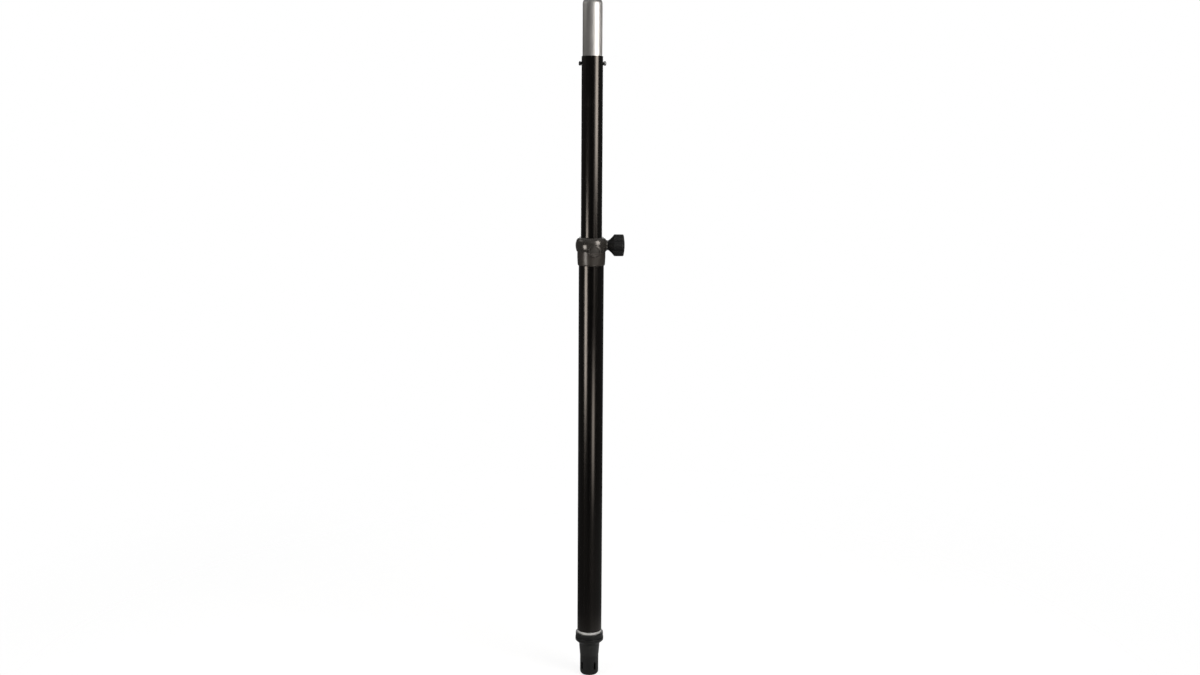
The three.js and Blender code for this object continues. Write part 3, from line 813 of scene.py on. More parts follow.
@dataclass(frozen=True)
class Finish:
    """What every finish has: its colours, its gloss and how its edges wear."""

    slot: Slot
    color: Color
    worn_color: Color
    roughness: float
    metallic: float = 0.0
    specular: float = 0.5
    gloss_color: Color = (1.0, 1.0, 1.0)
    wear: float = 0.4
    dust: float = 0.03
    smudge: float = 0.08

    def material(self, effects: Effects) -> Material:
        """Build the material.

        Args:
            effects: the shared effects.

        Returns:
            The material, named after its slot.
        """
        material = bpy.data.materials.new(self.slot.value)
        material.use_nodes = True
        net = Net(material.node_tree)
        shader = material.node_tree.nodes["Principled BSDF"]
        shader.inputs["Specular IOR Level"].default_value = self.specular
        shader.inputs["Specular Tint"].default_value = (*self.gloss_color, 1.0)
        self.set_constants(shader)
        color, roughness = self.surface(net, effects, shader)
        handling = effects.handling.used_in(net)
        wear = effects.wear.used_in(net, Amount=self.wear)["Wear"]
        worn = net.mix_color(wear, color, (*self.worn_color, 1.0))
        dust = net.times(handling["Dust"], self.dust)
        dusty = net.mix_color(dust, worn, (0.55, 0.53, 0.5, 1.0))
        smudge = net.times(handling["Smudge"], self.smudge)
        dull = net.plus(roughness, smudge, clamp=True)
        net.tree.links.new(dusty, shader.inputs["Base Color"])
        net.tree.links.new(dull, shader.inputs["Roughness"])
        self.join_metal(net, shader, wear)
        return material

    def set_constants(self, shader: Node) -> None:
        """Set the shader's sockets that are the same all over the surface."""
        shader.inputs["Metallic"].default_value = self.metallic

    def surface(self, net: Net, effects: Effects, shader: Node) -> tuple[Socket, Socket]:
        """Add the finish's own texture and join its normal to the shader.

        Args:
            net: the material's tree.
            effects: the shared effects.
            shader: the material's shader.

        Returns:
            The colour and the roughness before dust, smudges and wear.
        """
        raise NotImplementedError

    def join_metal(self, net: Net, shader: Node, wear: Socket) -> None:
        """Join the wear to the shader's Metallic, where metal shows through the finish."""

    @staticmethod
    def bump(net: Net, shader: Node, height: Socket, depth: float) -> None:
        """Join a height of about 0 to 1 to the shader's normal, with what 1 stands for in metres."""
        inputs = {"Height": height, "Distance": depth, "Strength": 1.0}
        normal = net.out("ShaderNodeBump", inputs)
        net.tree.links.new(normal, shader.inputs["Normal"])


@dataclass(frozen=True)
class DrawnMetal(Finish):
    """A drawn tube, bare or anodised, with its lines along the pole."""

    line_depth: float = 0.002 * MM
    streak_color: Color = (0.5, 0.5, 0.5)
    streak_roughness: float = 0.06
    stretch: float = 0.0
    shows_metal: bool = False

    def set_constants(self, shader: Node) -> None:
        """Set the metal and how far its highlights are stretched across the lines."""
        super().set_constants(shader)
        shader.inputs["Anisotropic"].default_value = self.stretch

    def surface(self, net: Net, effects: Effects, shader: Node) -> tuple[Socket, Socket]:
        """Draw the lines in the normal, the streaks in the colour and the roughness."""
        if self.stretch:
            across = net.out("ShaderNodeTangent", direction_type="RADIAL", axis="Z")
            net.tree.links.new(across, shader.inputs["Tangent"])
        lines = effects.lines.used_in(net)
        self.bump(net, shader, lines["Height"], self.line_depth)
        color = net.mix_color(lines["Streaks"], (*self.color, 1.0), (*self.streak_color, 1.0))
        spread = net.times(lines["Streaks"], self.streak_roughness)
        return color, net.plus(spread, self.roughness)

    def join_metal(self, net: Net, shader: Node, wear: Socket) -> None:
        """Let the metal show where a coloured skin has worn off."""
        if self.shows_metal:
            net.tree.links.new(wear, shader.inputs["Metallic"])


@dataclass(frozen=True)
class Moulding(Finish):
    """A moulded plastic face with its grain."""

    grain_size: float = 0.4 * MM
    grain_depth: float = 0.02 * MM
    wave_depth: float = 0.05 * MM
    wave_size: float = 7 * MM
    coat: float = 0.0

    def set_constants(self, shader: Node) -> None:
        """Set the plain gloss of the moulding."""
        super().set_constants(shader)
        shader.inputs["Coat Weight"].default_value = self.coat
        shader.inputs["Coat Roughness"].default_value = 0.12

    def surface(self, net: Net, effects: Effects, shader: Node) -> tuple[Socket, Socket]:
        """Draw the grain and the waves in the normal, and the waves in colour and roughness."""
        grain = effects.grain.used_in(net, Grain_Size=self.grain_size, Wave_Size=self.wave_size)
        share = self.wave_depth / self.grain_depth
        waves = net.times(grain["Waves"], share)
        self.bump(net, shader, net.plus(grain["Height"], waves), self.grain_depth)
        lighter = tuple(min(1.0, c * 1.18) for c in self.color)
        patches = net.ramp(grain["Waves"], 0.35, 0.7)
        color = net.mix_color(patches, (*self.color, 1.0), (*lighter, 1.0))
        spread = net.times(patches, 0.05)
        return color, net.plus(spread, self.roughness)


@dataclass(frozen=True)
class ToneAndSheenBandMoulding(Moulding):
    """A moulding with a band of another colour low down: on the base plug a painted reflection of the
    floor, on the collar a warmer tone.
    """

    # The defaults paint the base plug's taper paler: painted reflection of the floor below it.
    band_tone_and_sheen_color: Color = (0.013, 0.013, 0.0125)
    band_below: float = 66 * MM
    band_fade: float = 5 * MM
    band_above: float = 41 * MM
    band_start: float = 5 * MM
    band_foot: float = 0.2
    band_polish: float = -0.06
    band_line_width: float = 0.5 * MM
    band_line_length: float = 9 * MM

    def surface(self, net: Net, effects: Effects, shader: Node) -> tuple[Socket, Socket]:
        """Add the band, broken up in lines along the pole, to the moulding's own surface; on the base
        plug its paler colour is painted reflection.
        """
        color, roughness = super().surface(net, effects, shader)
        place = net.add("ShaderNodeTexCoord").outputs["Object"]
        height = net.parts(place)[2]
        fade_end = self.band_below + self.band_fade
        low = net.ramp(height, self.band_below, fade_end, 1.0, 0.0)
        start = self.band_above - self.band_start
        foot = net.ramp(height, start, self.band_above, self.band_foot, 1.0)
        low = net.times(low, foot)
        width, length = self.band_line_width, self.band_line_length
        lines = effects.lines.used_in(net, Line_Width=width, Line_Length=length)
        broken = net.plus(net.times(lines["Height"], 0.9), 0.5)
        share = net.times(low, broken, clamp=True)
        # Painted reflection on the base plug: the band is paler where the taper faces down towards the
        # floor.
        banded = net.mix_color(share, color, (*self.band_tone_and_sheen_color, 1.0))
        polish = net.times(share, self.band_polish)
        return banded, net.plus(roughness, polish)


@dataclass(frozen=True)
class TurnedMetal(Finish):
    """Small turned or plated metal, with fine marks of no direction."""

    mark_depth: float = 0.002 * MM

    def surface(self, net: Net, effects: Effects, shader: Node) -> tuple[Socket, Socket]:
        """Draw fine marks in the normal and let the gloss change from place to place."""
        grain = effects.grain.used_in(net, Grain_Size=0.25 * MM, Wave_Size=2.5 * MM)
        self.bump(net, shader, grain["Height"], self.mark_depth)
        darker = tuple(c * 0.8 for c in self.color)
        color = net.mix_color(grain["Waves"], (*self.color, 1.0), (*darker, 1.0))
        spread = net.times(grain["Waves"], 0.12)
        return color, net.plus(spread, self.roughness)


FINISHES: tuple[Finish, ...] = (
    DrawnMetal(
        Slot.BLACK_TUBE, color=(0.0009, 0.0009, 0.001), worn_color=(0.35, 0.35, 0.36),
        roughness=0.17, specular=0.85, gloss_color=(1.0, 0.9, 0.82), wear=0.3, dust=0.001,
        smudge=0.05, streak_color=(0.0016, 0.0015, 0.0015), streak_roughness=0.04,
        shows_metal=True,
    ),
    DrawnMetal(
        Slot.BARE_METAL, color=(0.6, 0.585, 0.57), worn_color=(0.72, 0.72, 0.71),
        roughness=0.38, stretch=0.72, metallic=1.0, wear=0.5, smudge=0.04,
        line_depth=0.0012 * MM, streak_color=(0.56, 0.55, 0.535), streak_roughness=0.05,
    ),
    DrawnMetal(
        Slot.RING_METAL, color=(0.94, 0.93, 0.91), worn_color=(0.72, 0.72, 0.71),
        roughness=0.46, metallic=0.62, wear=0.3, smudge=0.04, line_depth=0.001 * MM,
        streak_color=(0.9, 0.89, 0.87), streak_roughness=0.04,
    ),
    ToneAndSheenBandMoulding(
        Slot.COLLAR_MOULDING, color=(0.027, 0.0245, 0.0215), worn_color=(0.05, 0.05, 0.05),
        roughness=0.17, specular=0.75, gloss_color=(1.0, 0.93, 0.87), smudge=0.04, dust=0.015,
        grain_size=0.9 * MM, grain_depth=0.008 * MM, coat=0.3,
        band_tone_and_sheen_color=(0.029, 0.0245, 0.0205), band_below=793 * MM, band_fade=3 * MM,
        band_polish=0.2, band_line_width=2.4 * MM, band_line_length=5 * MM,
    ),
    # The base plug keeps the band's defaults: a paler band that paints the floor's reflection on its
    # taper.
    ToneAndSheenBandMoulding(
        Slot.BASE_MOULDING, color=(0.0035, 0.0035, 0.0034), worn_color=(0.05, 0.05, 0.05),
        roughness=0.38, wear=0.5, dust=0.012, grain_size=0.35 * MM, grain_depth=0.015 * MM,
    ),
    Moulding(
        Slot.KNOB_MOULDING, color=(0.003, 0.003, 0.0029), worn_color=(0.03, 0.03, 0.03),
        roughness=0.5, wear=0.45, grain_size=0.5 * MM, grain_depth=0.03 * MM,
    ),
    Moulding(
        Slot.NYLON, color=(0.62, 0.6, 0.55), worn_color=(0.5, 0.48, 0.44), roughness=0.45,
        grain_size=0.6 * MM, grain_depth=0.008 * MM,
    ),
    TurnedMetal(
        Slot.BRASS, color=(0.6, 0.42, 0.16), worn_color=(0.7, 0.52, 0.24), roughness=0.22,
        metallic=1.0,
    ),
    TurnedMetal(
        Slot.ZINC_STEEL, color=(0.62, 0.62, 0.61), worn_color=(0.7, 0.7, 0.7), roughness=0.22,
        metallic=1.0,
    ),
    TurnedMetal(
        Slot.BLACK_SCREWS, color=(0.035, 0.035, 0.036), worn_color=(0.25, 0.25, 0.25),
        roughness=0.34, metallic=0.7, wear=0.35,
    ),
)


# The workshop, which every sub-assembly is given


class Workshop:
    """Holds the frame, the finishes and the geometry trees, and fits finished pieces."""

    def __init__(self, record: dict[str, Any]) -> None:
        """Build what the sub-assemblies share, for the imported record."""
        effects = Effects()
        self.materials = {f.slot: f.material(effects) for f in FINISHES}
        self.slots = {s["node"]: Slot(s["material_slot"]) for s in record["subparts"]}
        bodies = record["behaviour"]["bodies"]
        self.bodies = {node: body for body, nodes in bodies.items() for node in nodes}
        self.sleeve_tree = SleeveTree()
        self.pieces_tree = RingOfPieces()
        self.cuts_tree = RingOfCuts()
        self.fluted_tree = FlutedForm()
        self.stud_tree = ThreadedStud()

    def material(self, node: str) -> Material:
        """Return the material of a node's slot."""
        return self.materials[self.slots[node]]

    def sleeve(
        self, node: str, inner: float, outer: float, rim: float, sides: int = 128, rows: int = 0
    ) -> Piece:
        """Make a tube or ring between a node's two ends.

        Args:
            node: the node that gives the ends.
            inner: the bore's radius.
            outer: the outer radius.
            rim: the rounding of the rims.
            sides: facets round the axis.
            rows: cuts along the length.

        Returns:
            The tube.
        """
        extent = Extent.of(node)
        values = {
            "Inner Radius": inner,
            "Outer Radius": outer,
            "Low": extent.low.z,
            "High": extent.high.z,
            "Rim Rounding": rim,
            "Sides": sides,
            "Rows": rows,
        }
        return self.sleeve_tree.make(None, node, self.material(node), values)

    def fluted(
        self, blank: Piece, node: str, lobes: int, core: float, radii: Point, fullness: float = 1.0
    ) -> Piece:
        """Draw a turned piece in to valleys between its lobes.

        Args:
            blank: the turned piece, as it is made along Z.
            node: the node that it stands for.
            lobes: number of lobes.
            core: radius of the middle, which stays round.
            radii: radius at a lobe, and in a valley.
            fullness: power that shapes the lobes, below 1 for fuller ones.

        Returns:
            The piece with its lobes.
        """
        values = {
            "Lobes": lobes,
            "Core Radius": core,
            "Lobe Radius": radii[0],
            "Valley Radius": radii[1],
            "Fullness": fullness,
        }
        return self.fluted_tree.make(blank, node, self.material(node), values)

    def cut(self, piece: Piece, tool: Piece, degrees: Sequence[float] = (0.0,)) -> Piece:
        """Take a tool out of a piece, once or at evenly spaced directions, and drop the tool.

        Args:
            piece: the piece, which keeps its name.
            tool: the cutting tool, as it lies at the front.
            degrees: the directions at which it cuts.

        Returns:
            The piece itself.
        """
        material = self.materials.get(self.slots.get(piece.name.partition(".")[0]))
        values = self._ring_values(tool, degrees)
        made = self.cuts_tree.make(piece, piece.name, material, values)
        bpy.data.objects.remove(tool)
        return made

    def copies(self, name: str, source: Piece, degrees: Sequence[float]) -> Piece:
        """Copy a piece to evenly spaced directions as one mesh, and drop the source."""
        made = self.pieces_tree.make(None, name, None, self._ring_values(source, degrees))
        bpy.data.objects.remove(source)
        return made

    @staticmethod
    def _ring_values(copied: Piece, degrees: Sequence[float]) -> dict[str, Any]:
        """Return the inputs that place an object at evenly spaced directions."""
        step = degrees[1] - degrees[0] if len(degrees) > 1 else 0.0
        return {
            "Copied Object": copied,
            "Count": len(degrees),
            "First Angle": math.radians(degrees[0]),
            "Step Angle": math.radians(step),
        }

    def fit(self, piece: Piece, *nodes: str, sharp_degrees: float = SHARP_DEGREES) -> None:
        """Shade and dress a finished piece, and set it in the place of frame nodes.

        Args:
            piece: the finished piece.
            *nodes: the nodes that it stands for, all on one body and in one slot.
            sharp_degrees: angle between faces above which their edge stays sharp.
        """
        piece.data.materials.clear()
        piece.data.materials.append(self.material(nodes[0]))
        shaded(piece, sharp_degrees)
        piece.name = f"finished_{nodes[0]}" if len(nodes) == 1 else f"finished_{nodes[0]}_set"
        piece.data.name = piece.name
        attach(piece, self.bodies[nodes[0]])
        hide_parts(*nodes)
        LOG.info("%s: %d faces, on %s", piece.name, len(piece.data.polygons), self.bodies[nodes[0]])


# Sub-assemblies


@dataclass
class SmallScrew:
    """A pan-head screw with a hexagon socket."""

    shank_radius: float = 2 * MM
    tip_round: float = 0.4 * MM
    head_radius: float = 3.6 * MM
    head_height: float = 2 * MM
    head_edge: float = 0.12 * MM
    dome_start: float = 0.25
    socket_radius: float = 1.3 * MM
    socket_depth: float = 1 * MM
    socket_lead: float = 0.15 * MM

    @property
    def hole_radius(self) -> float:
        """Return the radius of the hole that the shank goes through."""
        return self.shank_radius + CLEARANCE

    def make(self, shop: Workshop, name: str, seat: float, tip: float) -> Piece:
        """Make the screw along Z.

        Args:
            shop: the workshop.
            name: the object's name.
            seat: distance of the head's seat from the pole's axis.
            tip: distance of the shank's end.

        Returns:
            The screw.
        """
        top = seat + self.head_height
        size = (self.head_radius, self.head_height)
        dome = arc_points((0, seat), size, self.dome_start, QUARTER_TURN, 14)
        body = Outline(
            Ends.ON_AXIS,
            (0, tip),
            (self.shank_radius, tip, self.tip_round),
            (self.shank_radius, seat),
            (self.head_radius, seat, self.head_edge),
            *dome[:-1],
            (0, top),
        )
        floor = top - self.socket_depth
        lead = self.socket_lead
        socket = Outline(
            Ends.ON_AXIS,
            (0, floor),
            (self.socket_radius, floor),
            (self.socket_radius, top - 2 * lead),
            (self.socket_radius + 2 * lead, top + lead),
            (0, top + lead),
        )
        return shop.cut(turned(name, body, 48), turned("socket_tool", socket, 6))


@dataclass(frozen=True)
class ScrewPair:
    """Where two screws go in: their height above a level, and their directions."""

    rise: float
    degrees: tuple[float, float]
    screw: SmallScrew = field(default_factory=SmallScrew)


BASE_SCREWS = ScrewPair(18 * MM, (150.0, 210.0))
COLLAR_SCREWS = ScrewPair(14 * MM, (145.0, 215.0))


@dataclass
class SubAssembly:
    """A group of pieces that are built together in the workshop."""

    shop: Workshop

    def build(self) -> None:
        """Build the pieces and fit each in its place."""
        raise NotImplementedError

    def build_screws(self, name: str, pair: ScrewPair, seat: float, tip: float, level: float) -> None:
        """Build and fit two screws.

        Args:
            name: what their two nodes are called, without the number.
            pair: their sizes and directions.
            seat: distance of the heads' seats from the pole's axis.
            tip: distance of the shanks' ends.
            level: the height that their rise starts from.
        """
        screw = pair.screw.make(self.shop, name, seat, tip)
        on_spoke(screw, 0, level + pair.rise)
        screws = self.shop.copies(f"{name}s", screw, pair.degrees)
        self.shop.fit(screws, f"{name}_1", f"{name}_2")

    def drill_pair(self, piece: Piece, pair: ScrewPair, start: float, end: float, level: float) -> None:
        """Drill the two holes for a pair of screws whose rise starts from a level."""
        drill = rod("drill", pair.screw.hole_radius, start, end)
        self.shop.cut(piece, on_spoke(drill, 0, level + pair.rise), pair.degrees)


@dataclass
class Foot(SubAssembly):
    """The slotted base plug with its screws, and the bright ring above its flange."""

    foot_radius: float = 17.15 * MM
    end_round: Point = (5.25 * MM, 5.5 * MM)
    straight_top: float = 36.8 * MM
    step_radius: float = 17.65 * MM
    step_top: float = 40.2 * MM
    step_round: float = 1.6 * MM
    taper_top: float = 60.8 * MM
    taper_radius: float = 19.3 * MM
    cone_height: float = 6.5 * MM
    bead_height: float = 5.5 * MM
    bead_round: float = 0.7 * MM
    band_step: float = 0.6 * MM
    flange_round: float = 0.9 * MM
    groove_depth: float = 0.7 * MM
    groove_height: float = 1.2 * MM
    groove_round: float = 0.25 * MM
    insert_wall: float = 4.6 * MM
    insert_lead: Point = (0.75 * MM, 1.5 * MM)
    insert_round: float = 0.4 * MM
    foot_wall: float = 4.75 * MM
    foot_floor: float = 6 * MM
    slot_width: float = 4.6 * MM
    slot_ends: Point = (10.7 * MM, 25.9 * MM)
    slot_flare: float = 0.45 * MM
    slot_lip: float = 0.98
    slot_mouth: float = 1.4
    slot_degrees: tuple[float, ...] = (38.0, 128.0, 218.0, 308.0)
    screw_bite: float = 3.4 * MM
    ring_rim: float = 0.35 * MM

    def build(self) -> None:
        """Build and fit the plug, its screws and the ring."""
        self.ring = Extent.of("trim_ring")
        bore = self.ring.radius - OUTER_WALL
        self.insert_radius = bore - CLEARANCE
        tip = self.insert_radius - self.screw_bite
        plug = turned("base_plug", self._outline(), 144, 6)
        self.shop.cut(plug, self._slot_tool(), self.slot_degrees)
        end = self.insert_radius + OVERRUN
        self.drill_pair(plug, BASE_SCREWS, tip - CLEARANCE, end, self.ring.high.z)
        self.shop.fit(plug, "base_plug")
        bright = self.shop.sleeve("trim_ring", bore, self.ring.radius, self.ring_rim)
        self.shop.fit(bright, "trim_ring")
        seat = self.ring.radius + CLEARANCE
        self.build_screws("base_screw", BASE_SCREWS, seat, tip, self.ring.high.z)

    def _outline(self) -> Outline:
        """Return the plug's outline, from its end face up the outside and down the inside."""
        plug = Extent.of("base_plug")
        top = plug.high.z
        flange, flange_top = plug.radius, self.ring.low.z
        insert = self.insert_radius
        cone_top = self.taper_top + self.cone_height
        bead_top = cone_top + self.bead_height
        groove_top = bead_top + self.groove_height
        band = flange - self.band_step
        groove = band - self.groove_depth
        cavity = self.foot_radius - self.foot_wall
        shell = insert - self.insert_wall
        flat = self.foot_radius - self.end_round[0]
        lead, lead_height = self.insert_lead
        return Outline(
            Ends.ON_AXIS,
            (0, 0),
            *arc_points((flat, self.end_round[1]), self.end_round, -QUARTER_TURN, 0, 14),
            (self.foot_radius, self.straight_top, self.step_round),
            (self.step_radius, self.step_top, self.step_round),
            (self.taper_radius, self.taper_top, ROUND_EDGE),
            (flange, cone_top, self.flange_round),
            (flange, bead_top, self.bead_round),
            (groove, bead_top + self.band_step, self.groove_round),
            (groove, groove_top, self.groove_round),
            (band, groove_top + self.groove_depth, FINE_EDGE),
            (band, flange_top, self.flange_round),
            (insert, flange_top, SHARP_EDGE),
            (insert, top - lead_height, self.insert_round),
            (insert - lead, top, FINE_EDGE),
            (shell, top, self.insert_round),
            (shell, flange_top),
            (cavity, self.taper_top),
            (cavity, self.foot_floor, ROUND_EDGE),
            (0, self.foot_floor),
        )

    def _slot_tool(self) -> Piece:
        """Return the tool for one slot: a round-ended bar that flares at the foot's surface."""
        low, high = self.slot_ends
        half, middle = self.slot_width / 2, (low + high) / 2
        straight = (high - low) / 2 - half
        flare = self.slot_flare
        start = self.foot_radius - flare
        depths = [(self.foot_radius - self.foot_wall - OVERRUN, 0.0)]
        for turn in np.linspace(0, QUARTER_TURN, 5):
            depths.append((start + flare * math.sin(turn) * self.slot_lip, flare * (1 - math.cos(turn))))
        depths.append((self.foot_radius + OVERRUN, flare * self.slot_mouth))
        rings = []
        for reach, grown in depths:
            end = arc_points((0, straight), (half + grown, half + grown), 0, math.pi, 12)
            both = end + [(-x, -z) for x, z in end]
            rings.append([(x, -reach, z + middle) for x, z in both])
        return loft("slot_tool", rings[::-1])


@dataclass
class OuterTube(SubAssembly):
    """The black outer tube, drilled for the screws at both ends."""

    rim: float = 0.35 * MM
    rows: int = 23

    def build(self) -> None:
        """Build and fit the tube."""
        extent = Extent.of("outer_tube")
        radius = extent.radius
        bore = radius - OUTER_WALL
        tube = self.shop.sleeve("outer_tube", bore, radius, self.rim, rows=self.rows)
        pairs = ((BASE_SCREWS, extent), (COLLAR_SCREWS, Extent.of("collar_body")))
        for pair, start in pairs:
            self.drill_pair(tube, pair, bore - OVERRUN, radius + OVERRUN, start.low.z)
        self.shop.fit(tube, "outer_tube")


@dataclass
class Boss:
    """A flat round boss on the collar, with a rounded edge and a drafted side."""

    degrees: float
    height: float
    radius: float
    reach: float
    edge: float
    blend: float
    draft: float = 3.2
    half_sweep: float = 62.0

    def surface(self, turn: np.ndarray, level: np.ndarray) -> np.ndarray:
        """Work out how far out the boss reaches.

        Args:
            turn: directions round the pole, in degrees.
            level: heights above the collar's lower lip.

        Returns:
            The distance from the pole's axis, small where the boss isn't.
        """
        off = np.radians((turn - self.degrees + 180) % 360 - 180)
        facing = np.abs(off) < math.radians(self.half_sweep)
        off = np.where(facing, off, 0)
        from_axis = np.hypot(self.reach * np.tan(off), level - self.height)
        past = np.clip(from_axis - (self.radius - self.edge), 0, self.edge)
        rounding = self.edge - np.sqrt(self.edge**2 - past**2)
        wall = np.clip(from_axis - self.radius, 0, None) * self.draft
        return np.where(facing, self.reach / np.cos(off) - rounding - wall, 0)


def blended(first: np.ndarray, second: np.ndarray, width: float) -> np.ndarray:
    """Return the larger of two surfaces, with a fillet of about the given width between them."""
    share = np.clip(0.5 + (first - second) / (2 * width), 0, 1)
    return second + (first - second) * share + width * share * (1 - share)


@dataclass
class Collar(SubAssembly):
    """The moulded collar with its disc, screws, guide bush, wiper ring and threaded insert."""

    seat_depth: float = 25 * MM
    lip_step: float = 0.8 * MM
    lip_round: float = 4.2 * MM
    skirt_wall: float = 2.4 * MM
    skirt_taper: float = 0.6 * MM
    skirt_taper_top: float = 14 * MM
    skirt_round: float = 4 * MM
    mouth_lip: float = 0.7 * MM
    mouth_share: float = 0.97
    bulge_middle: float = 37 * MM
    bulge_lower_share: float = 0.75
    crease: float = 0.5 * MM
    crease_step: float = 0.2 * MM
    clamp_height: float = 36 * MM
    clamp_radius: float = 9.4 * MM
    pad_radius: float = 8 * MM
    sleeve_radius: float = 6.2 * MM
    insert_flange: float = 1.4 * MM
    insert_bore: float = 4.3 * MM
    knurls: int = 32
    knurl_depth: float = 0.35 * MM
    hole_lead: float = 0.25 * MM
    wiper_seat: float = 44.7 * MM
    wiper_rim: float = 0.4 * MM
    disc_degrees: float = 14.0
    disc_height: float = 28 * MM
    disc_rim: float = 1.9 * MM
    disc_sink: float = 0.1 * MM
    disc_thickness: float = 1.4 * MM
    disc_proud: float = 0.4 * MM
    disc_edge: float = 0.12 * MM
    disc_groove_in: float = 1.5 * MM
    disc_groove_half: float = 0.35 * MM
    disc_dome: float = 0.16 * MM
    bush_depth: float = 29 * MM
    bush_flange: float = 2 * MM
    bush_gap: float = 3 * MM
    turn_steps: Point = (0.55, 2.6)
    turn_growth: float = 0.12
    fine_halves: Point = (31.0, 23.0)
    head_band: Point = (15.5 * MM, 46 * MM)
    head_spacing: float = 0.3 * MM
    skirt_spacing: float = 1.5 * MM

    def build(self) -> None:
        """Build and fit the collar and everything that stays in it."""
        tube, body = Extent.of("outer_tube"), Extent.of("collar_body")
        disc, insert = Extent.of("collar_disc"), Extent.of("threaded_insert")
        self.disc_radius = (disc.high.z - disc.low.z) / 2
        self.tube_radius = tube.radius
        self.tube_bore = tube.radius - OUTER_WALL
        self.skirt = self.tube_radius + CLEARANCE + self.skirt_wall
        self.low = body.low.z
        self.height = body.high.z - body.low.z
        self.clamp_reach = insert.high.x
        self.insert_seat = insert.low.x
        self.bulge_radius = body.high.y
        self.boss_reach = self.bulge_radius - self.disc_sink
        self.disc_front = self.boss_reach + self.disc_proud
        self._build_body()
        self._build_disc()
        seat = self.skirt + CLEARANCE
        tip = self.tube_bore + CLEARANCE
        self.build_screws("collar_screw", COLLAR_SCREWS, seat, tip, self.low)
        self._build_bush()
        self._build_insert()
        wiper = self.shop.sleeve("wiper_ring", RUN_RADIUS, self.tube_bore, self.wiper_rim)
        self.shop.fit(wiper, "wiper_ring")

    def _bosses(self) -> tuple[Boss, Boss]:
        """Return the disc's boss and the clamp screw's boss."""
        disc = self.disc_radius + CLEARANCE + self.disc_rim
        degrees, height, reach = self.disc_degrees, self.disc_height, self.boss_reach
        clamp = (KNOB_SIDE, self.clamp_height, self.clamp_radius, self.clamp_reach)
        return (
            Boss(degrees, height, disc, reach, edge=0.9 * MM, blend=1.1 * MM),
            Boss(*clamp, edge=1 * MM, blend=0.5 * MM),
        )

    def _outside(self) -> list[Point]:
        """Return the collar's outside without its bosses, from the lower lip to the mouth."""
        low_skirt = self.skirt - self.skirt_taper
        mouth = self.tube_bore + CLEARANCE + self.mouth_lip
        swell = self.bulge_radius - mouth
        middle = self.bulge_middle
        lower = (middle - self.seat_depth) / self.bulge_lower_share
        start = -math.asin(self.bulge_lower_share)
        lip = (low_skirt - self.tube_radius - self.lip_step, self.lip_round)
        head = arc_points((mouth, middle), (swell, lower), start, 0, 40)
        end = QUARTER_TURN * self.mouth_share
        outline = Outline(
            Ends.CLOSED,
            *arc_points((low_skirt - lip[0], self.lip_round), lip, -QUARTER_TURN, 0, 8),
            (self.skirt, self.skirt_taper_top, self.skirt_round),
            (self.skirt, self.seat_depth, self.crease),
            (head[0][0] + self.crease_step, self.seat_depth, self.crease),
            *head[3:-1],
            *arc_points((mouth, middle), (swell, self.height - middle), 0, end, 46),
        )
        points = refined(outline.points(4), self.head_spacing, self.head_band)
        return refined(points, self.skirt_spacing, (0, self.head_band[0]))

    def _inside(self) -> list[Point]:
        """Return the collar's inside, from the mouth down to the lower lip."""
        seat = self.tube_radius + CLEARANCE
        seat_top = self.seat_depth + self.bush_flange + CLEARANCE
        mouth = self.tube_bore + CLEARANCE
        outline = Outline(
            Ends.CLOSED,
            (mouth, self.height, FINE_EDGE),
            (mouth, self.wiper_seat),
            (self.tube_bore, self.wiper_seat),
            (self.tube_bore, seat_top),
            (seat, seat_top),
            (seat, 0, 0.4 * MM),
        )
        return outline.points(3)

    def _directions(self) -> np.ndarray:
        """Return the mesh's directions in degrees, close together at the bosses."""
        fine, coarse = self.turn_steps
        bands = tuple(zip((self.disc_degrees, KNOB_SIDE), self.fine_halves))
        turns = []
        turn = self.disc_degrees - 180
        last = turn + 360
        while turn < last - fine / 2:
            turns.append(turn)
            near = min(abs(turn - middle) - half for middle, half in bands)
            turn += float(np.clip(fine + max(near, 0) * self.turn_growth, fine, coarse))
        return np.array(turns)

    def _build_body(self) -> None:
        """Build the body: a surface round the pole that swells at the bosses, then cut."""
        outside, inside = np.array(self._outside()), np.array(self._inside())
        turns = self._directions()
        turn, radius = np.meshgrid(turns, outside[:, 0])
        level = np.meshgrid(turns, outside[:, 1])[1]
        for boss in self._bosses():
            radius = blended(radius, boss.surface(turn, level), boss.blend)
        inner_turn, inner_radius = np.meshgrid(turns, inside[:, 0])
        inner_level = np.meshgrid(turns, inside[:, 1])[1]
        turn = np.vstack((turn, inner_turn))
        radius = np.vstack((radius, inner_radius))
        level = np.vstack((level, inner_level))
        angle = np.radians(turn) - QUARTER_TURN
        places = np.stack((radius * np.cos(angle), radius * np.sin(angle), level + self.low), axis=-1)
        rows, columns = radius.shape
        number = np.arange(rows * columns).reshape(rows, columns)
        right = np.roll(number, -1, axis=1)
        above = np.roll(number, -1, axis=0)
        faces = np.stack((number, right, np.roll(above, -1, axis=1), above), axis=-1)
        body = mesh_object("collar_body", places.reshape(-1, 3), faces.reshape(-1, 4))
        self._cut_body(body)
        self.shop.fit(body, "collar_body", sharp_degrees=42.0)

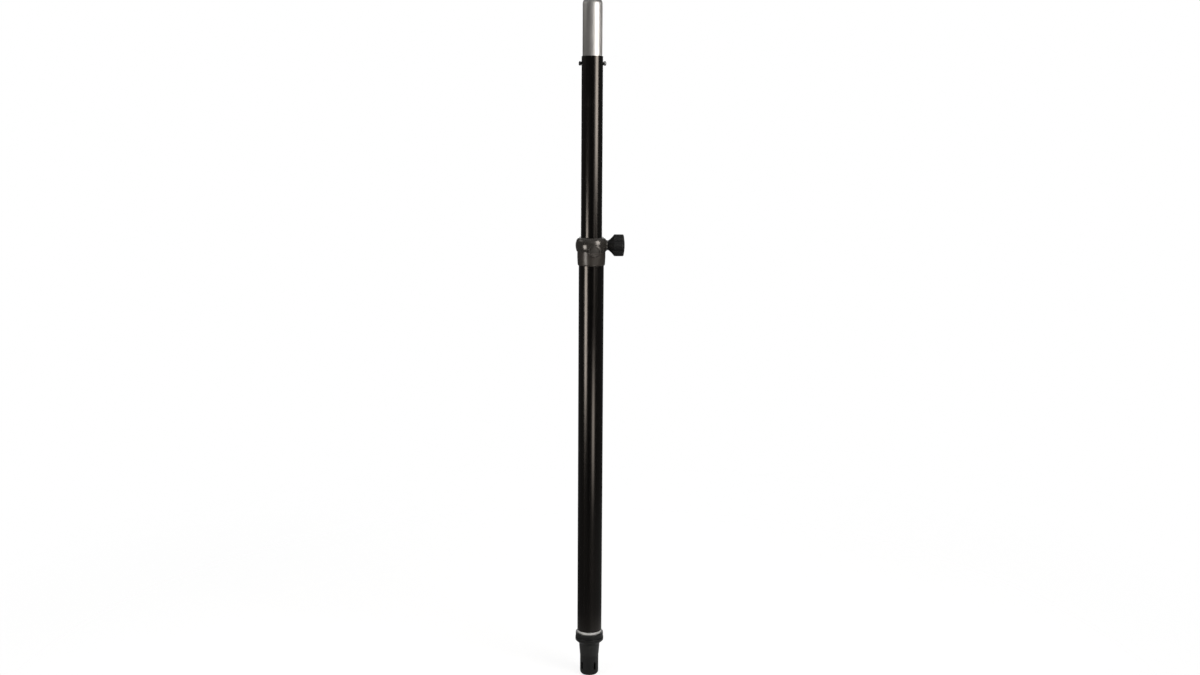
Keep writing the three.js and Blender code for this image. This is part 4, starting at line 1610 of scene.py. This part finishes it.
    def _cut_body(self, body: Piece) -> None:
        """Cut the disc's seat, the clamp screw's pocket and the screw holes."""
        lead = self.hole_lead
        floor = self.disc_front - self.disc_thickness - CLEARANCE
        seat, face = self.disc_radius + CLEARANCE, self.boss_reach
        outline = Outline(
            Ends.ON_AXIS,
            (0, floor),
            (seat, floor),
            (seat, face - lead),
            (seat + 2 * lead, face + lead),
            (seat + 2 * lead, face + 4 * lead),
            (0, face + 4 * lead),
        )
        tool = turned("disc_seat_tool", outline, 128)
        self.shop.cut(body, on_spoke(tool, self.disc_degrees, self.low + self.disc_height))
        pocket, hole = self.pad_radius + CLEARANCE, self.sleeve_radius + CLEARANCE
        pocket_end = self.insert_seat + self.insert_flange + CLEARANCE
        face = self.clamp_reach
        outline = Outline(
            Ends.ON_AXIS,
            (0, RUN_RADIUS / 2),
            (pocket, RUN_RADIUS / 2),
            (pocket, pocket_end),
            (hole, pocket_end),
            (hole, face - lead),
            (hole + 2 * lead, face + lead),
            (hole + 2 * lead, face + OVERRUN),
            (0, face + OVERRUN),
        )
        tool = turned("clamp_tool", outline, 96)
        self.shop.cut(body, on_spoke(tool, KNOB_SIDE, self.low + self.clamp_height))
        self.drill_pair(body, COLLAR_SCREWS, self.tube_bore, self.skirt + OVERRUN, self.low)

    def _build_disc(self) -> None:
        """Build the plain disc: slightly domed, with one shallow groove inside its rim."""
        front, radius, edge = self.disc_front, self.disc_radius, self.disc_edge
        back = front - self.disc_thickness
        groove, half = radius - self.disc_groove_in, self.disc_groove_half
        dome = self.disc_dome
        outline = Outline(
            Ends.ON_AXIS,
            (0, back),
            (radius, back, CRISP_EDGE),
            (radius, front - 0.4 * MM, FINE_EDGE),
            (groove + half, front - 0.2 * MM, edge),
            (groove, front - 0.38 * MM, edge),
            (groove - half, front - 0.17 * MM, edge),
            *((groove * s, front - dome * s**2) for s in (0.8, 0.6, 0.4, 0.2)),
            (0, front),
        )
        disc = turned("collar_disc", outline, 128)
        on_spoke(disc, self.disc_degrees, self.low + self.disc_height)
        self.shop.fit(disc, "collar_disc")

    def _build_bush(self) -> None:
        """Build the split guide bush on the outer tube's end."""
        seat = self.low + self.seat_depth
        foot, top = seat - self.bush_depth, seat + self.bush_flange
        sleeve = self.tube_bore - CLEARANCE
        outline = Outline(
            Ends.CLOSED,
            (RUN_RADIUS, foot, FINE_EDGE),
            (sleeve, foot, FINE_EDGE),
            (sleeve, seat),
            (self.tube_radius, seat, SHARP_EDGE),
            (self.tube_radius, top, FINE_EDGE),
            (RUN_RADIUS, top, SOFT_EDGE),
        )
        bush = turned("lower_guide_bush", outline, 96)
        half, reach = self.bush_gap / 2, self.tube_radius + OVERRUN
        corners = ((-half, 0), (half, 0), (half, reach), (-half, reach))
        levels = (foot - OVERRUN, top + OVERRUN)
        self.shop.cut(bush, loft("split_tool", [[(*c, level) for c in corners] for level in levels]))
        self.shop.fit(bush, "lower_guide_bush")

    def _build_insert(self) -> None:
        """Build the threaded insert with its knurled sleeve."""
        bore, flange, sleeve = self.insert_bore, self.pad_radius, self.sleeve_radius
        seat, face = self.insert_seat, self.clamp_reach
        flange_face = seat + self.insert_flange
        outline = Outline(
            Ends.CLOSED,
            (bore, seat, FINE_EDGE),
            (flange, seat, SHARP_EDGE),
            (flange, flange_face, SHARP_EDGE),
            (sleeve, flange_face),
            (sleeve, face, FINE_EDGE),
            (bore, face, FINE_EDGE),
        )
        insert = self.shop.fluted(
            turned("threaded_insert", outline, 128),
            "threaded_insert",
            lobes=self.knurls,
            core=sleeve - CORE_MARGIN,
            radii=(flange, flange - self.knurl_depth),
        )
        on_spoke(insert, KNOB_SIDE, self.low + self.clamp_height)
        self.shop.fit(insert, "threaded_insert")


@dataclass
class ClampKnob(SubAssembly):
    """The lobed knob with its cap and threaded stud, and the pad that the stud presses."""

    neck_reach: float = 0.2 * MM
    neck_length: float = 0.4 * MM
    neck_radius: float = 8.7 * MM
    flare_length: float = 11.4 * MM
    flare_ease: float = 1.4
    flare_round: float = 0.6 * MM
    rim_length: float = 16.5 * MM
    rim_rounds: Point = (1.5 * MM, 4.6 * MM)
    rim_rows: Point = (3 * MM, 4 * MM)
    dome: float = 2.2 * MM
    lobes: int = 4
    valley_radius: float = 12.6 * MM
    fullness: float = 0.8
    cap_steps: tuple[float, float, float] = (0.72, 0.62, 0.55)
    cap_dish: float = 0.35 * MM
    stud_radius: float = 4 * MM
    stud_chamfer: float = 0.8 * MM
    thread_depth: float = 0.68 * MM
    thread_pitch: float = 1.25 * MM
    pad_round: float = 0.4 * MM
    pad_reach: float = 20 * MM

    def build(self) -> None:
        """Build and fit the knob, its cap, its stud and the pressure pad."""
        self.stud = Extent.of("knob_stud")
        self.cap = Extent.of("knob_cap")
        self.level = Extent.of("knob_body").level
        self._build_knob()
        self._build_cap()
        self._build_stud()
        self._build_pad()

    def _build_knob(self) -> None:
        """Build the knob: turned with its lobes' outline, then drawn in between them."""
        knob = Extent.of("knob_body")
        neck_face = knob.low.x - self.neck_reach
        neck, lobe = self.neck_radius, knob.radius
        flare_start = neck_face + self.neck_length
        rim_start = flare_start + self.flare_length
        rim_end = rim_start + self.rim_length
        first_row, last_row = self.rim_rows
        start_round, end_round = self.rim_rounds
        seat = self.cap.radius + CLEARANCE
        seat_floor = self.cap.low.x - CLEARANCE
        seat_top = rim_end + self.dome * (1 - (seat / lobe) ** 2)
        bore = self.stud_radius + CLEARANCE
        bore_end = self.stud.high.x + CLEARANCE
        flare = []
        for share in np.linspace(0, 1, 9)[:-1]:
            radius = neck + (lobe - neck) * share**self.flare_ease
            flare.append((radius, flare_start + self.flare_length * share, self.flare_round))
        outline = Outline(
            Ends.ON_AXIS,
            (0, bore_end),
            (bore, bore_end),
            (bore, neck_face, FINE_EDGE),
            (neck, neck_face, 0.25 * MM),
            *flare,
            (lobe, rim_start, start_round),
            *((lobe, z) for z in np.linspace(rim_start + first_row, rim_end - last_row, 6)),
            (lobe, rim_end, end_round),
            *((lobe * s, rim_end + self.dome * (1 - s**2)) for s in (0.8, 0.7, 0.6, 0.5)),
            (seat, seat_top, FINE_EDGE),
            (seat, seat_floor),
            (0, seat_floor),
        )
        body = self.shop.fluted(
            turned("knob_body", outline, 192),
            "knob_body",
            lobes=self.lobes,
            core=seat + CORE_MARGIN,
            radii=(lobe, self.valley_radius),
            fullness=self.fullness,
        )
        self.shop.fit(on_spoke(body, KNOB_SIDE, self.level), "knob_body")

    def _build_cap(self) -> None:
        """Build the cap, with a ring round a shallow dish."""
        back, front, radius = self.cap.low.x, self.cap.high.x, self.cap.radius
        rim, ring, dish = (radius * share for share in self.cap_steps)
        outline = Outline(
            Ends.ON_AXIS,
            (0, back),
            (radius, back, CRISP_EDGE),
            (radius, front - 0.5 * MM, FINE_EDGE),
            (rim, front, 0.4 * MM),
            (ring, front, 0.25 * MM),
            (dish, front - self.cap_dish, 0.25 * MM),
            (0, front - 0.3 * MM),
        )
        cover = turned("knob_cap", outline, 96)
        self.shop.fit(on_spoke(cover, KNOB_SIDE, self.level), "knob_cap")

    def _build_stud(self) -> None:
        """Build the threaded stud."""
        low, high = self.stud.low.x, self.stud.high.x
        values = {
            "Crest Radius": self.stud_radius,
            "Thread Depth": self.thread_depth,
            "Pitch": self.thread_pitch,
            "Low": low,
            "High": high,
            "Chamfer": self.stud_chamfer,
            "Sides": 48,
            "Rows": 12 * round((high - low) / self.thread_pitch),
        }
        material = self.shop.material("knob_stud")
        stud = self.shop.stud_tree.make(None, "knob_stud", material, values)
        on_spoke(stud, KNOB_SIDE, self.level)
        self.shop.fit(stud, "knob_stud", sharp_degrees=60.0)

    def _build_pad(self) -> None:
        """Build the pad, hollowed to the inner tube."""
        extent = Extent.of("pressure_pad")
        radius, start, end = extent.radius, RUN_RADIUS / 2, extent.high.x
        corners = ((0, start), (radius, start), (radius, end, self.pad_round), (0, end))
        pad = turned("pressure_pad", Outline(Ends.ON_AXIS, *corners), 64)
        on_spoke(pad, KNOB_SIDE, self.level)
        low, high = self.level - self.pad_reach, self.level + self.pad_reach
        self.shop.cut(pad, rod("tube_tool", RUN_RADIUS, low, high, 128))
        self.shop.fit(pad, "pressure_pad")


@dataclass
class InnerMast(SubAssembly):
    """The inner tube with its end plug, pin and guide ring, and the spigot with its cap."""

    tube_wall: float = 1.4 * MM
    tube_rim: float = 0.3 * MM
    rows: int = 21
    spigot_wall: float = 2.2 * MM
    spigot_end: Point = (3.4 * MM, 7.4 * MM)
    spigot_lip: float = 1.2 * MM
    cap_wall: float = 2.5 * MM
    cap_dish: Point = (3 * MM, 0.6 * MM)
    cap_gate: Point = (1.1 * MM, 0.1 * MM)
    plug_wall: float = 4 * MM
    plug_flange: float = 3 * MM
    ring_relief: float = 0.5 * MM
    ring_land: float = 3 * MM
    bolt_hole: float = 2.8 * MM
    pin_hole: float = 2.3 * MM

    def build(self) -> None:
        """Build and fit the tube and all that is in its ends."""
        self.tube = Extent.of("inner_tube")
        self.bore = self.tube.radius - self.tube_wall
        self.bolt_level = Extent.of("cross_bolt").level
        self.pin_level = Extent.of("plug_pin").level
        self._build_tube()
        self._build_spigot()
        self._build_spigot_cap()
        self._build_end_plug()
        self._build_guide_ring()
        self._build_pin()

    def _drill(self, piece: Piece, radius: float, level: float) -> None:
        """Drill right through a piece along X."""
        reach = self.tube.radius + OVERRUN
        drill = rod("drill", radius, -reach, reach)
        self.shop.cut(piece, on_spoke(drill, KNOB_SIDE, level))

    def _build_tube(self) -> None:
        """Build the black inner tube."""
        radius = self.tube.radius
        tube = self.shop.sleeve("inner_tube", self.bore, radius, self.tube_rim, rows=self.rows)
        self._drill(tube, self.bolt_hole, self.bolt_level)
        self._drill(tube, self.pin_hole, self.pin_level)
        self.shop.fit(tube, "inner_tube")

    def _build_spigot(self) -> None:
        """Build the bright spigot, whose upper end is spun inwards round its cap."""
        spigot = Extent.of("spigot_tube")
        low, top = spigot.low.z, spigot.high.z
        radius, inner = spigot.radius, spigot.radius - self.spigot_wall
        inward, height = self.spigot_end
        start, flat = top - height, radius - inward
        mouth = flat - self.spigot_lip
        inside = (inner - mouth, height - self.spigot_wall)
        outline = Outline(
            Ends.CLOSED,
            (inner, low, FINE_EDGE),
            (radius, low, FINE_EDGE),
            *arc_points((flat, start), self.spigot_end, 0, QUARTER_TURN, 16),
            (mouth, top, FINE_EDGE),
            *arc_points((mouth, start), inside, QUARTER_TURN, 0, 12),
        )
        tube = turned("spigot_tube", outline)
        self._drill(tube, self.bolt_hole, self.bolt_level)
        self.shop.fit(tube, "spigot_tube", sharp_degrees=50.0)

    def _build_spigot_cap(self) -> None:
        """Build the plug that closes the spigot, dished and with a moulding gate in the middle."""
        cap = Extent.of("spigot_cap")
        radius, low, top = cap.radius, cap.low.z, cap.high.z
        inner, floor = radius - self.cap_wall, top - self.cap_wall
        rim, depth = self.cap_dish
        gate, gate_depth = self.cap_gate
        outline = Outline(
            Ends.ON_AXIS,
            (0, top - gate_depth),
            (gate, top - gate_depth, CRISP_EDGE),
            (gate + 0.3 * MM, top - depth, CRISP_EDGE),
            (radius - rim, top - depth, FINE_EDGE),
            (radius - rim + depth, top, FINE_EDGE),
            (radius, top, 0.35 * MM),
            (radius, low, FINE_EDGE),
            (inner, low, FINE_EDGE),
            (inner, floor, SOFT_EDGE),
            (0, floor),
        )
        self.shop.fit(turned("spigot_cap", outline, 96), "spigot_cap")

    def _build_end_plug(self) -> None:
        """Build the hollow plug in the lower end of the inner tube."""
        plug = Extent.of("tube_end_plug")
        radius, low, top = plug.radius, plug.low.z, plug.high.z
        inside = self.bore - CLEARANCE
        flange, floor = low + self.plug_flange, low + self.plug_wall
        inner = inside - self.plug_wall
        outline = Outline(
            Ends.ON_AXIS,
            (0, low),
            (radius, low, ROUND_EDGE),
            (radius, flange, FINE_EDGE),
            (inside, flange),
            (inside, top, ROUND_EDGE),
            (inner, top, FINE_EDGE),
            (inner, floor, ROUND_EDGE),
            (0, floor),
        )
        made = turned("tube_end_plug", outline, 96)
        self._drill(made, self.pin_hole, self.pin_level)
        self.shop.fit(made, "tube_end_plug")

    def _build_guide_ring(self) -> None:
        """Build the guide ring, whose waist is relieved between its two lands."""
        ring = Extent.of("guide_ring")
        low, high, radius = ring.low.z, ring.high.z, ring.radius
        waist = radius - self.ring_relief
        land, relief = self.ring_land, self.ring_land + self.ring_relief
        outline = Outline(
            Ends.CLOSED,
            (self.bore, low, FINE_EDGE),
            (radius, low, SOFT_EDGE),
            (radius, low + land, FINE_EDGE),
            (waist, low + relief, FINE_EDGE),
            (waist, high - relief, FINE_EDGE),
            (radius, high - land, FINE_EDGE),
            (radius, high, SOFT_EDGE),
            (self.bore, high, FINE_EDGE),
        )
        self.shop.fit(turned("guide_ring", outline, 96), "guide_ring")

    def _build_pin(self) -> None:
        """Build the pin that holds the end plug."""
        pin = Extent.of("plug_pin")
        radius, end = pin.radius, pin.high.x
        corners = ((0, -end), (radius, -end, SOFT_EDGE), (radius, end, SOFT_EDGE), (0, end))
        made = turned("plug_pin", Outline(Ends.ON_AXIS, *corners), 48)
        self.shop.fit(on_spoke(made, KNOB_SIDE, self.pin_level), "plug_pin")


@dataclass
class CrossBolt(SubAssembly):
    """The bolt across the inner tube and the spigot, with its spacers and its dome nut."""

    shank_radius: float = 2.5 * MM
    head_height: float = 3.4 * MM
    head_face: float = 0.62
    head_shoulder: float = 0.93
    shoulder_levels: Point = (0.9 * MM, 1.9 * MM)
    socket_radius: float = 1.75 * MM
    socket_depth: float = 1.6 * MM
    socket_lead: float = 0.2 * MM
    nut_height: float = 2.4 * MM
    nut_bevel: float = 0.45 * MM
    nut_dome_radius: float = 3.7 * MM
    nut_dome_end: float = 0.96
    nut_bore_end: float = 2.5 * MM
    nut_sides: int = 96

    def build(self) -> None:
        """Build and fit the bolt, the spacers and the nut."""
        self.bolt = Extent.of("cross_bolt")
        self._build_bolt()
        self._build_nut()
        for node in ("bolt_spacer_left", "bolt_spacer_right"):
            self._build_spacer(node)

    def _build_bolt(self) -> None:
        """Build the bolt, whose head faces away from the knob."""
        face, end, head = self.bolt.low.x, self.bolt.high.x, self.bolt.radius
        seat = face + self.head_height
        shank, socket = self.shank_radius, self.socket_radius
        upper, lower = self.shoulder_levels
        outline = Outline(
            Ends.ON_AXIS,
            (0, face),
            (head * self.head_face, face, FINE_EDGE),
            (head * self.head_shoulder, face + upper, 0.7 * MM),
            (head, face + lower, 0.4 * MM),
            (head, seat, SHARP_EDGE),
            (shank, seat),
            (shank, end, 0.4 * MM),
            (0, end),
        )
        lead = self.socket_lead
        floor = face + self.socket_depth
        hexagon = Outline(
            Ends.ON_AXIS,
            (0, face - lead),
            (socket + 2 * lead, face - lead),
            (socket, face + lead),
            (socket, floor),
            (0, floor + 3 * lead),
        )
        made = turned("cross_bolt", outline, 64)
        self.shop.cut(made, turned("socket_tool", hexagon, 6))
        self.shop.fit(on_spoke(made, KNOB_SIDE, self.bolt.level), "cross_bolt")

    def _build_spacer(self, node: str) -> None:
        """Build one spacer ring between the tube and the bolt's head or nut."""
        extent = Extent.of(node)
        inner, outer = self.shank_radius + CLEARANCE, extent.radius
        low, high = sorted((abs(extent.low.x), abs(extent.high.x)))
        outline = Outline(
            Ends.CLOSED,
            (inner, low, 0.1 * MM),
            (outer, low, 0.25 * MM),
            (outer, high, 0.25 * MM),
            (inner, high, 0.1 * MM),
        )
        side = KNOB_SIDE if extent.low.x > 0 else -KNOB_SIDE
        self.shop.fit(on_spoke(turned(node, outline, 64), side, self.bolt.level), node)

    def _build_nut(self) -> None:
        """Build the dome nut: a hexagon with its corners turned off, under a dome."""
        nut = Extent.of("cross_bolt_nut")
        seat, end = nut.low.x, nut.high.x
        corner = max((nut.high.z - nut.low.z) / 2, nut.radius)
        flat = corner * math.cos(math.pi / 6)
        top, bevel = seat + self.nut_height, self.nut_bevel
        limits = [(corner - bevel, seat), (corner, seat + bevel / 2), (corner, top - bevel / 2)]
        limits.append((corner - bevel, top))
        size = (self.nut_dome_radius, end - top)
        dome = arc_points((0, top), size, 0, QUARTER_TURN * self.nut_dome_end, 10)
        turns = np.arange(self.nut_sides) * FULL_TURN / self.nut_sides
        off = (turns + math.pi / 6) % (math.pi / 3) - math.pi / 6
        hexagon = flat / np.cos(off)
        rings = []
        for limit, level in limits + dome:
            radii = np.minimum(hexagon, limit)
            rings.append([(r * math.cos(t), r * math.sin(t), level) for r, t in zip(radii, turns)])
        made = loft("cross_bolt_nut", rings)
        bore = self.shank_radius + CLEARANCE
        self.shop.cut(made, rod("bore_tool", bore, seat - OVERRUN, seat + self.nut_bore_end))
        on_spoke(made, KNOB_SIDE, self.bolt.level)
        self.shop.fit(made, "cross_bolt_nut", sharp_degrees=24.0)


# Camera, light and floor


@dataclass(frozen=True)
class PhotoCamera:
    """The camera that took the photograph, as fitted to the pole's known sizes."""

    photo_width_px: float = 1200.0
    focal_length_px: float = 1250.0
    sensor_mm: float = 36.0
    place: tuple[float, float, float] = (0.01643, -2.230, 0.9918)
    pitch_degrees: float = 8.98
    roll_degrees: float = 0.369

    def build(self) -> Piece:
        """Make the camera, and make it the scene's."""
        data = bpy.data.cameras.new("photo_camera")
        data.sensor_width = self.sensor_mm
        data.lens = self.focal_length_px / self.photo_width_px * self.sensor_mm
        camera = bpy.data.objects.new("photo_camera", data)
        bpy.context.scene.collection.objects.link(camera)
        pitch, roll = math.radians(self.pitch_degrees), math.radians(self.roll_degrees)
        ahead = Vector((0, math.cos(pitch), -math.sin(pitch)))
        level = Vector((1, 0, 0))
        up = level.cross(ahead)
        right = level * math.cos(roll) + up * math.sin(roll)
        top = up * math.cos(roll) - level * math.sin(roll)
        axes = Matrix((right, top, -ahead)).transposed().to_4x4()
        camera.matrix_world = Matrix.Translation(self.place) @ axes
        bpy.context.scene.camera = camera
        return camera


@dataclass(frozen=True)
class Softbox:
    """An area lamp that faces the pole, and fades towards its sides and its ends.

    A fade is the share of the width or height in which the lamp comes up to its full strength.
    The side fades are for its left and right side as the pole sees them turned away from it, in
    the order of their directions, and the end fades for its lower and upper end.
    """

    name: str
    degrees: float
    distance: float
    middle: float
    width: float
    height: float
    radiance: float
    side_fades: Point = (0.1, 0.1)
    end_fades: Point = (0.1, 0.1)
    color: Color = (1.0, 0.97, 0.93)

    def build(self) -> None:
        """Make the lamp, with its power worked out from its area and radiance."""
        data = bpy.data.lights.new(self.name, "AREA")
        data.shape = "RECTANGLE"
        data.size, data.size_y = self.width, self.height
        data.energy = self.radiance * math.pi * self.width * self.height
        data.color = self.color
        self._add_fades(data)
        lamp = bpy.data.objects.new(self.name, data)
        bpy.context.scene.collection.objects.link(lamp)
        turn = math.radians(self.degrees)
        away = Vector((math.sin(turn), -math.cos(turn), 0))
        lamp.location = away * self.distance + Vector((0, 0, self.middle))
        lamp.rotation_mode = "QUATERNION"
        lamp.rotation_quaternion = away.to_track_quat("Z", "Y")
        lamp.visible_camera = False

    def _add_fades(self, data: bpy.types.Light) -> None:
        """Give the lamp its fades, through its own nodes."""
        data.use_nodes = True
        data.node_tree.nodes.clear()
        net = Net(data.node_tree)
        place = net.add("ShaderNodeNewGeometry").outputs["Parametric"]
        strength: Any = 1.0
        for share, fades in zip(net.parts(place), (self.side_fades, self.end_fades)):
            rest = net.minus(1.0, share)
            for distance, fade in zip((share, rest), fades):
                strength = net.times(strength, net.ramp(distance, 0.0, fade))
        glow = net.add("ShaderNodeEmission", {"Strength": strength})
        net.add("ShaderNodeOutputLight", {"Surface": glow.outputs[0]})


@dataclass(frozen=True)
class Studio:
    """The plain studio: soft lamps, a white background and a pale floor."""

    lamps: tuple[Softbox, ...] = (
        Softbox("right_softbox", 48.8, 1.5, 1.34, 0.98, 1.14, 6.3, (0.38, 0.08), (0.22, 0.1)),
        Softbox("right_edge", 30.0, 1.5, 1.15, 0.5, 1.5, 0.55, (0.4, 0.4), (0.14, 0.1)),
        Softbox("left_softbox", -48.0, 1.5, 0.45, 0.72, 0.68, 6.4, (0.2, 0.2), (0.35, 0.1)),
        Softbox("left_upper", -95.0, 1.5, 1.6, 1.5, 0.6, 0.9, (0.3, 0.3), (0.2, 0.2)),
        Softbox("low_bounce", 26.0, 1.0, 0.26, 0.6, 0.5, 3.4, (0.4, 0.4), (0.5, 0.5)),
        Softbox("front_fill", 12.0, 2.6, 1.9, 1.6, 0.9, 0.35, color=(1.0, 1.0, 1.0)),
        Softbox("back_fill", 180.0, 2.2, 1.3, 1.6, 1.4, 2.0, color=(1.0, 1.0, 1.0)),
    )
    ambient: float = 0.33
    mirrored_front: float = 0.02
    mirrored_back: float = 0.06
    mirrored_top: float = 0.3
    side_reach: Point = (-0.9, 0.5)
    top_reach: Point = (0.1, 0.95)
    backdrop_edge: Point = (0.965, 0.995)
    floor_radius: float = 3.2
    floor_clear_radius: float = 0.55
    floor_drop: float = 0.15 * MM
    floor_color: float = 0.86
    floor_glow_share: float = 0.62
    floor_glow: float = 1.3
    # Painted light on the floor, seen only by what shines: its glow near the pole and further off, and
    # how much brighter it is on the knob's side.
    floor_painted_light: Point = (0.24, 0.06)
    floor_painted_light_reach: Point = (0.16, 0.36)
    floor_painted_light_side: tuple[float, float, float, float] = (-0.02, 0.12, 0.9, 1.8)

    def build(self) -> None:
        """Build the lamps, the world and the floor."""
        for lamp in self.lamps:
            lamp.build()
        self._build_world()
        self._build_floor()
        bpy.context.scene.view_settings.view_transform = "Standard"

    def _build_world(self) -> None:
        """Build the world: white where it is seen, dim and grey where it lights the pole.

        What shines sees the same white behind the pole, and the dark of the room elsewhere.
        """
        world = bpy.data.worlds.new("studio")
        bpy.context.scene.world = world
        world.use_nodes = True
        world.node_tree.nodes.clear()
        net = Net(world.node_tree)
        way = net.add("ShaderNodeTexCoord").outputs["Generated"]
        _, back, up = net.parts(way)
        backdrop = net.ramp(back, *self.backdrop_edge)
        sides = net.ramp(back, *self.side_reach, self.mirrored_front, self.mirrored_back)
        overhead = net.ramp(up, *self.top_reach, 0.0, self.mirrored_top)
        room = net.plus(net.plus(sides, overhead), backdrop, clamp=True)
        ray = net.add("ShaderNodeLightPath").outputs
        mirrored = net.math("MAXIMUM", room, ray["Is Transmission Ray"])
        shiny = net.math("MAXIMUM", ray["Is Glossy Ray"], ray["Is Transmission Ray"])
        seen = net.math("MAXIMUM", mirrored, ray["Is Camera Ray"])
        shown = net.math("MAXIMUM", shiny, ray["Is Camera Ray"])
        shares = {0: shown, 2: self.ambient, 3: seen}
        strength = net.out("ShaderNodeMix", shares, data_type="FLOAT")
        light = {"Color": (1.0, 1.0, 1.0, 1.0), "Strength": strength}
        whole = net.add("ShaderNodeBackground", light)
        net.add("ShaderNodeOutputWorld", {"Surface": whole.outputs[0]})

    def _build_floor(self) -> None:
        """Build the floor, a pale disc that fades into the white background."""
        sides = 96
        turns = [FULL_TURN * k / sides for k in range(sides)]
        radius = self.floor_radius
        level = -self.floor_drop
        places = [(radius * math.cos(t), radius * math.sin(t), level) for t in turns]
        floor = mesh_object("floor", places, [list(range(sides))])
        floor.data.materials.append(self._floor_material())

    def _floor_material(self) -> Material:
        """Return the floor's material: partly its own white, so that only shadows darken it.

        What shines sees it glow, a painted pool of light: bright near the pole and on the knob's side,
        dim further off.
        """
        material = bpy.data.materials.new("pale_floor")
        material.use_nodes = True
        material.node_tree.nodes.clear()
        net = Net(material.node_tree)
        place = net.add("ShaderNodeTexCoord").outputs["Object"]
        length = net.length(place)
        fade = net.ramp(length, self.floor_clear_radius, self.floor_radius / 2)
        grey = self.floor_color
        paint = net.add("ShaderNodeBsdfDiffuse", {"Color": (grey, grey, grey, 1.0)})
        ray = net.add("ShaderNodeLightPath").outputs
        seen = net.math("MAXIMUM", ray["Is Camera Ray"], ray["Is Transmission Ray"])
        # Painted light: a pool of glow, brighter near the pole and towards the knob's side, standing in
        # for lamp light falling on the floor.
        painted_light = net.ramp(length, *self.floor_painted_light_reach, *self.floor_painted_light)
        side = net.ramp(net.parts(place)[0], *self.floor_painted_light_side)
        painted_light = net.times(painted_light, side)
        shares = {0: ray["Is Glossy Ray"], 2: self.floor_glow, 3: painted_light}
        strength = net.out("ShaderNodeMix", shares, data_type="FLOAT")
        glow = net.add("ShaderNodeEmission", {"Strength": strength})
        share = net.times(seen, self.floor_glow_share)
        share = net.math("MAXIMUM", share, ray["Is Glossy Ray"])
        surface = net.add("ShaderNodeMixShader", {0: share, 1: paint.outputs[0], 2: glow.outputs[0]})
        clear = net.add("ShaderNodeBsdfTransparent")
        whole = net.add("ShaderNodeMixShader", {0: fade, 1: surface.outputs[0], 2: clear.outputs[0]})
        net.add("ShaderNodeOutputMaterial", {"Surface": whole.outputs[0]})
        return material


def main() -> None:
    """Load the frame, and build the finished pole and its studio round it."""
    logging.basicConfig(level=logging.INFO, format="%(name)s: %(message)s")
    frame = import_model()
    PhotoCamera().build()
    shop = Workshop(frame["record"])
    for kind in (Foot, OuterTube, Collar, ClampKnob, InnerMast, CrossBolt):
        LOG.info("building %s", kind.__name__)
        kind(shop).build()
    Studio().build()


if __name__ == "__main__":
    main()
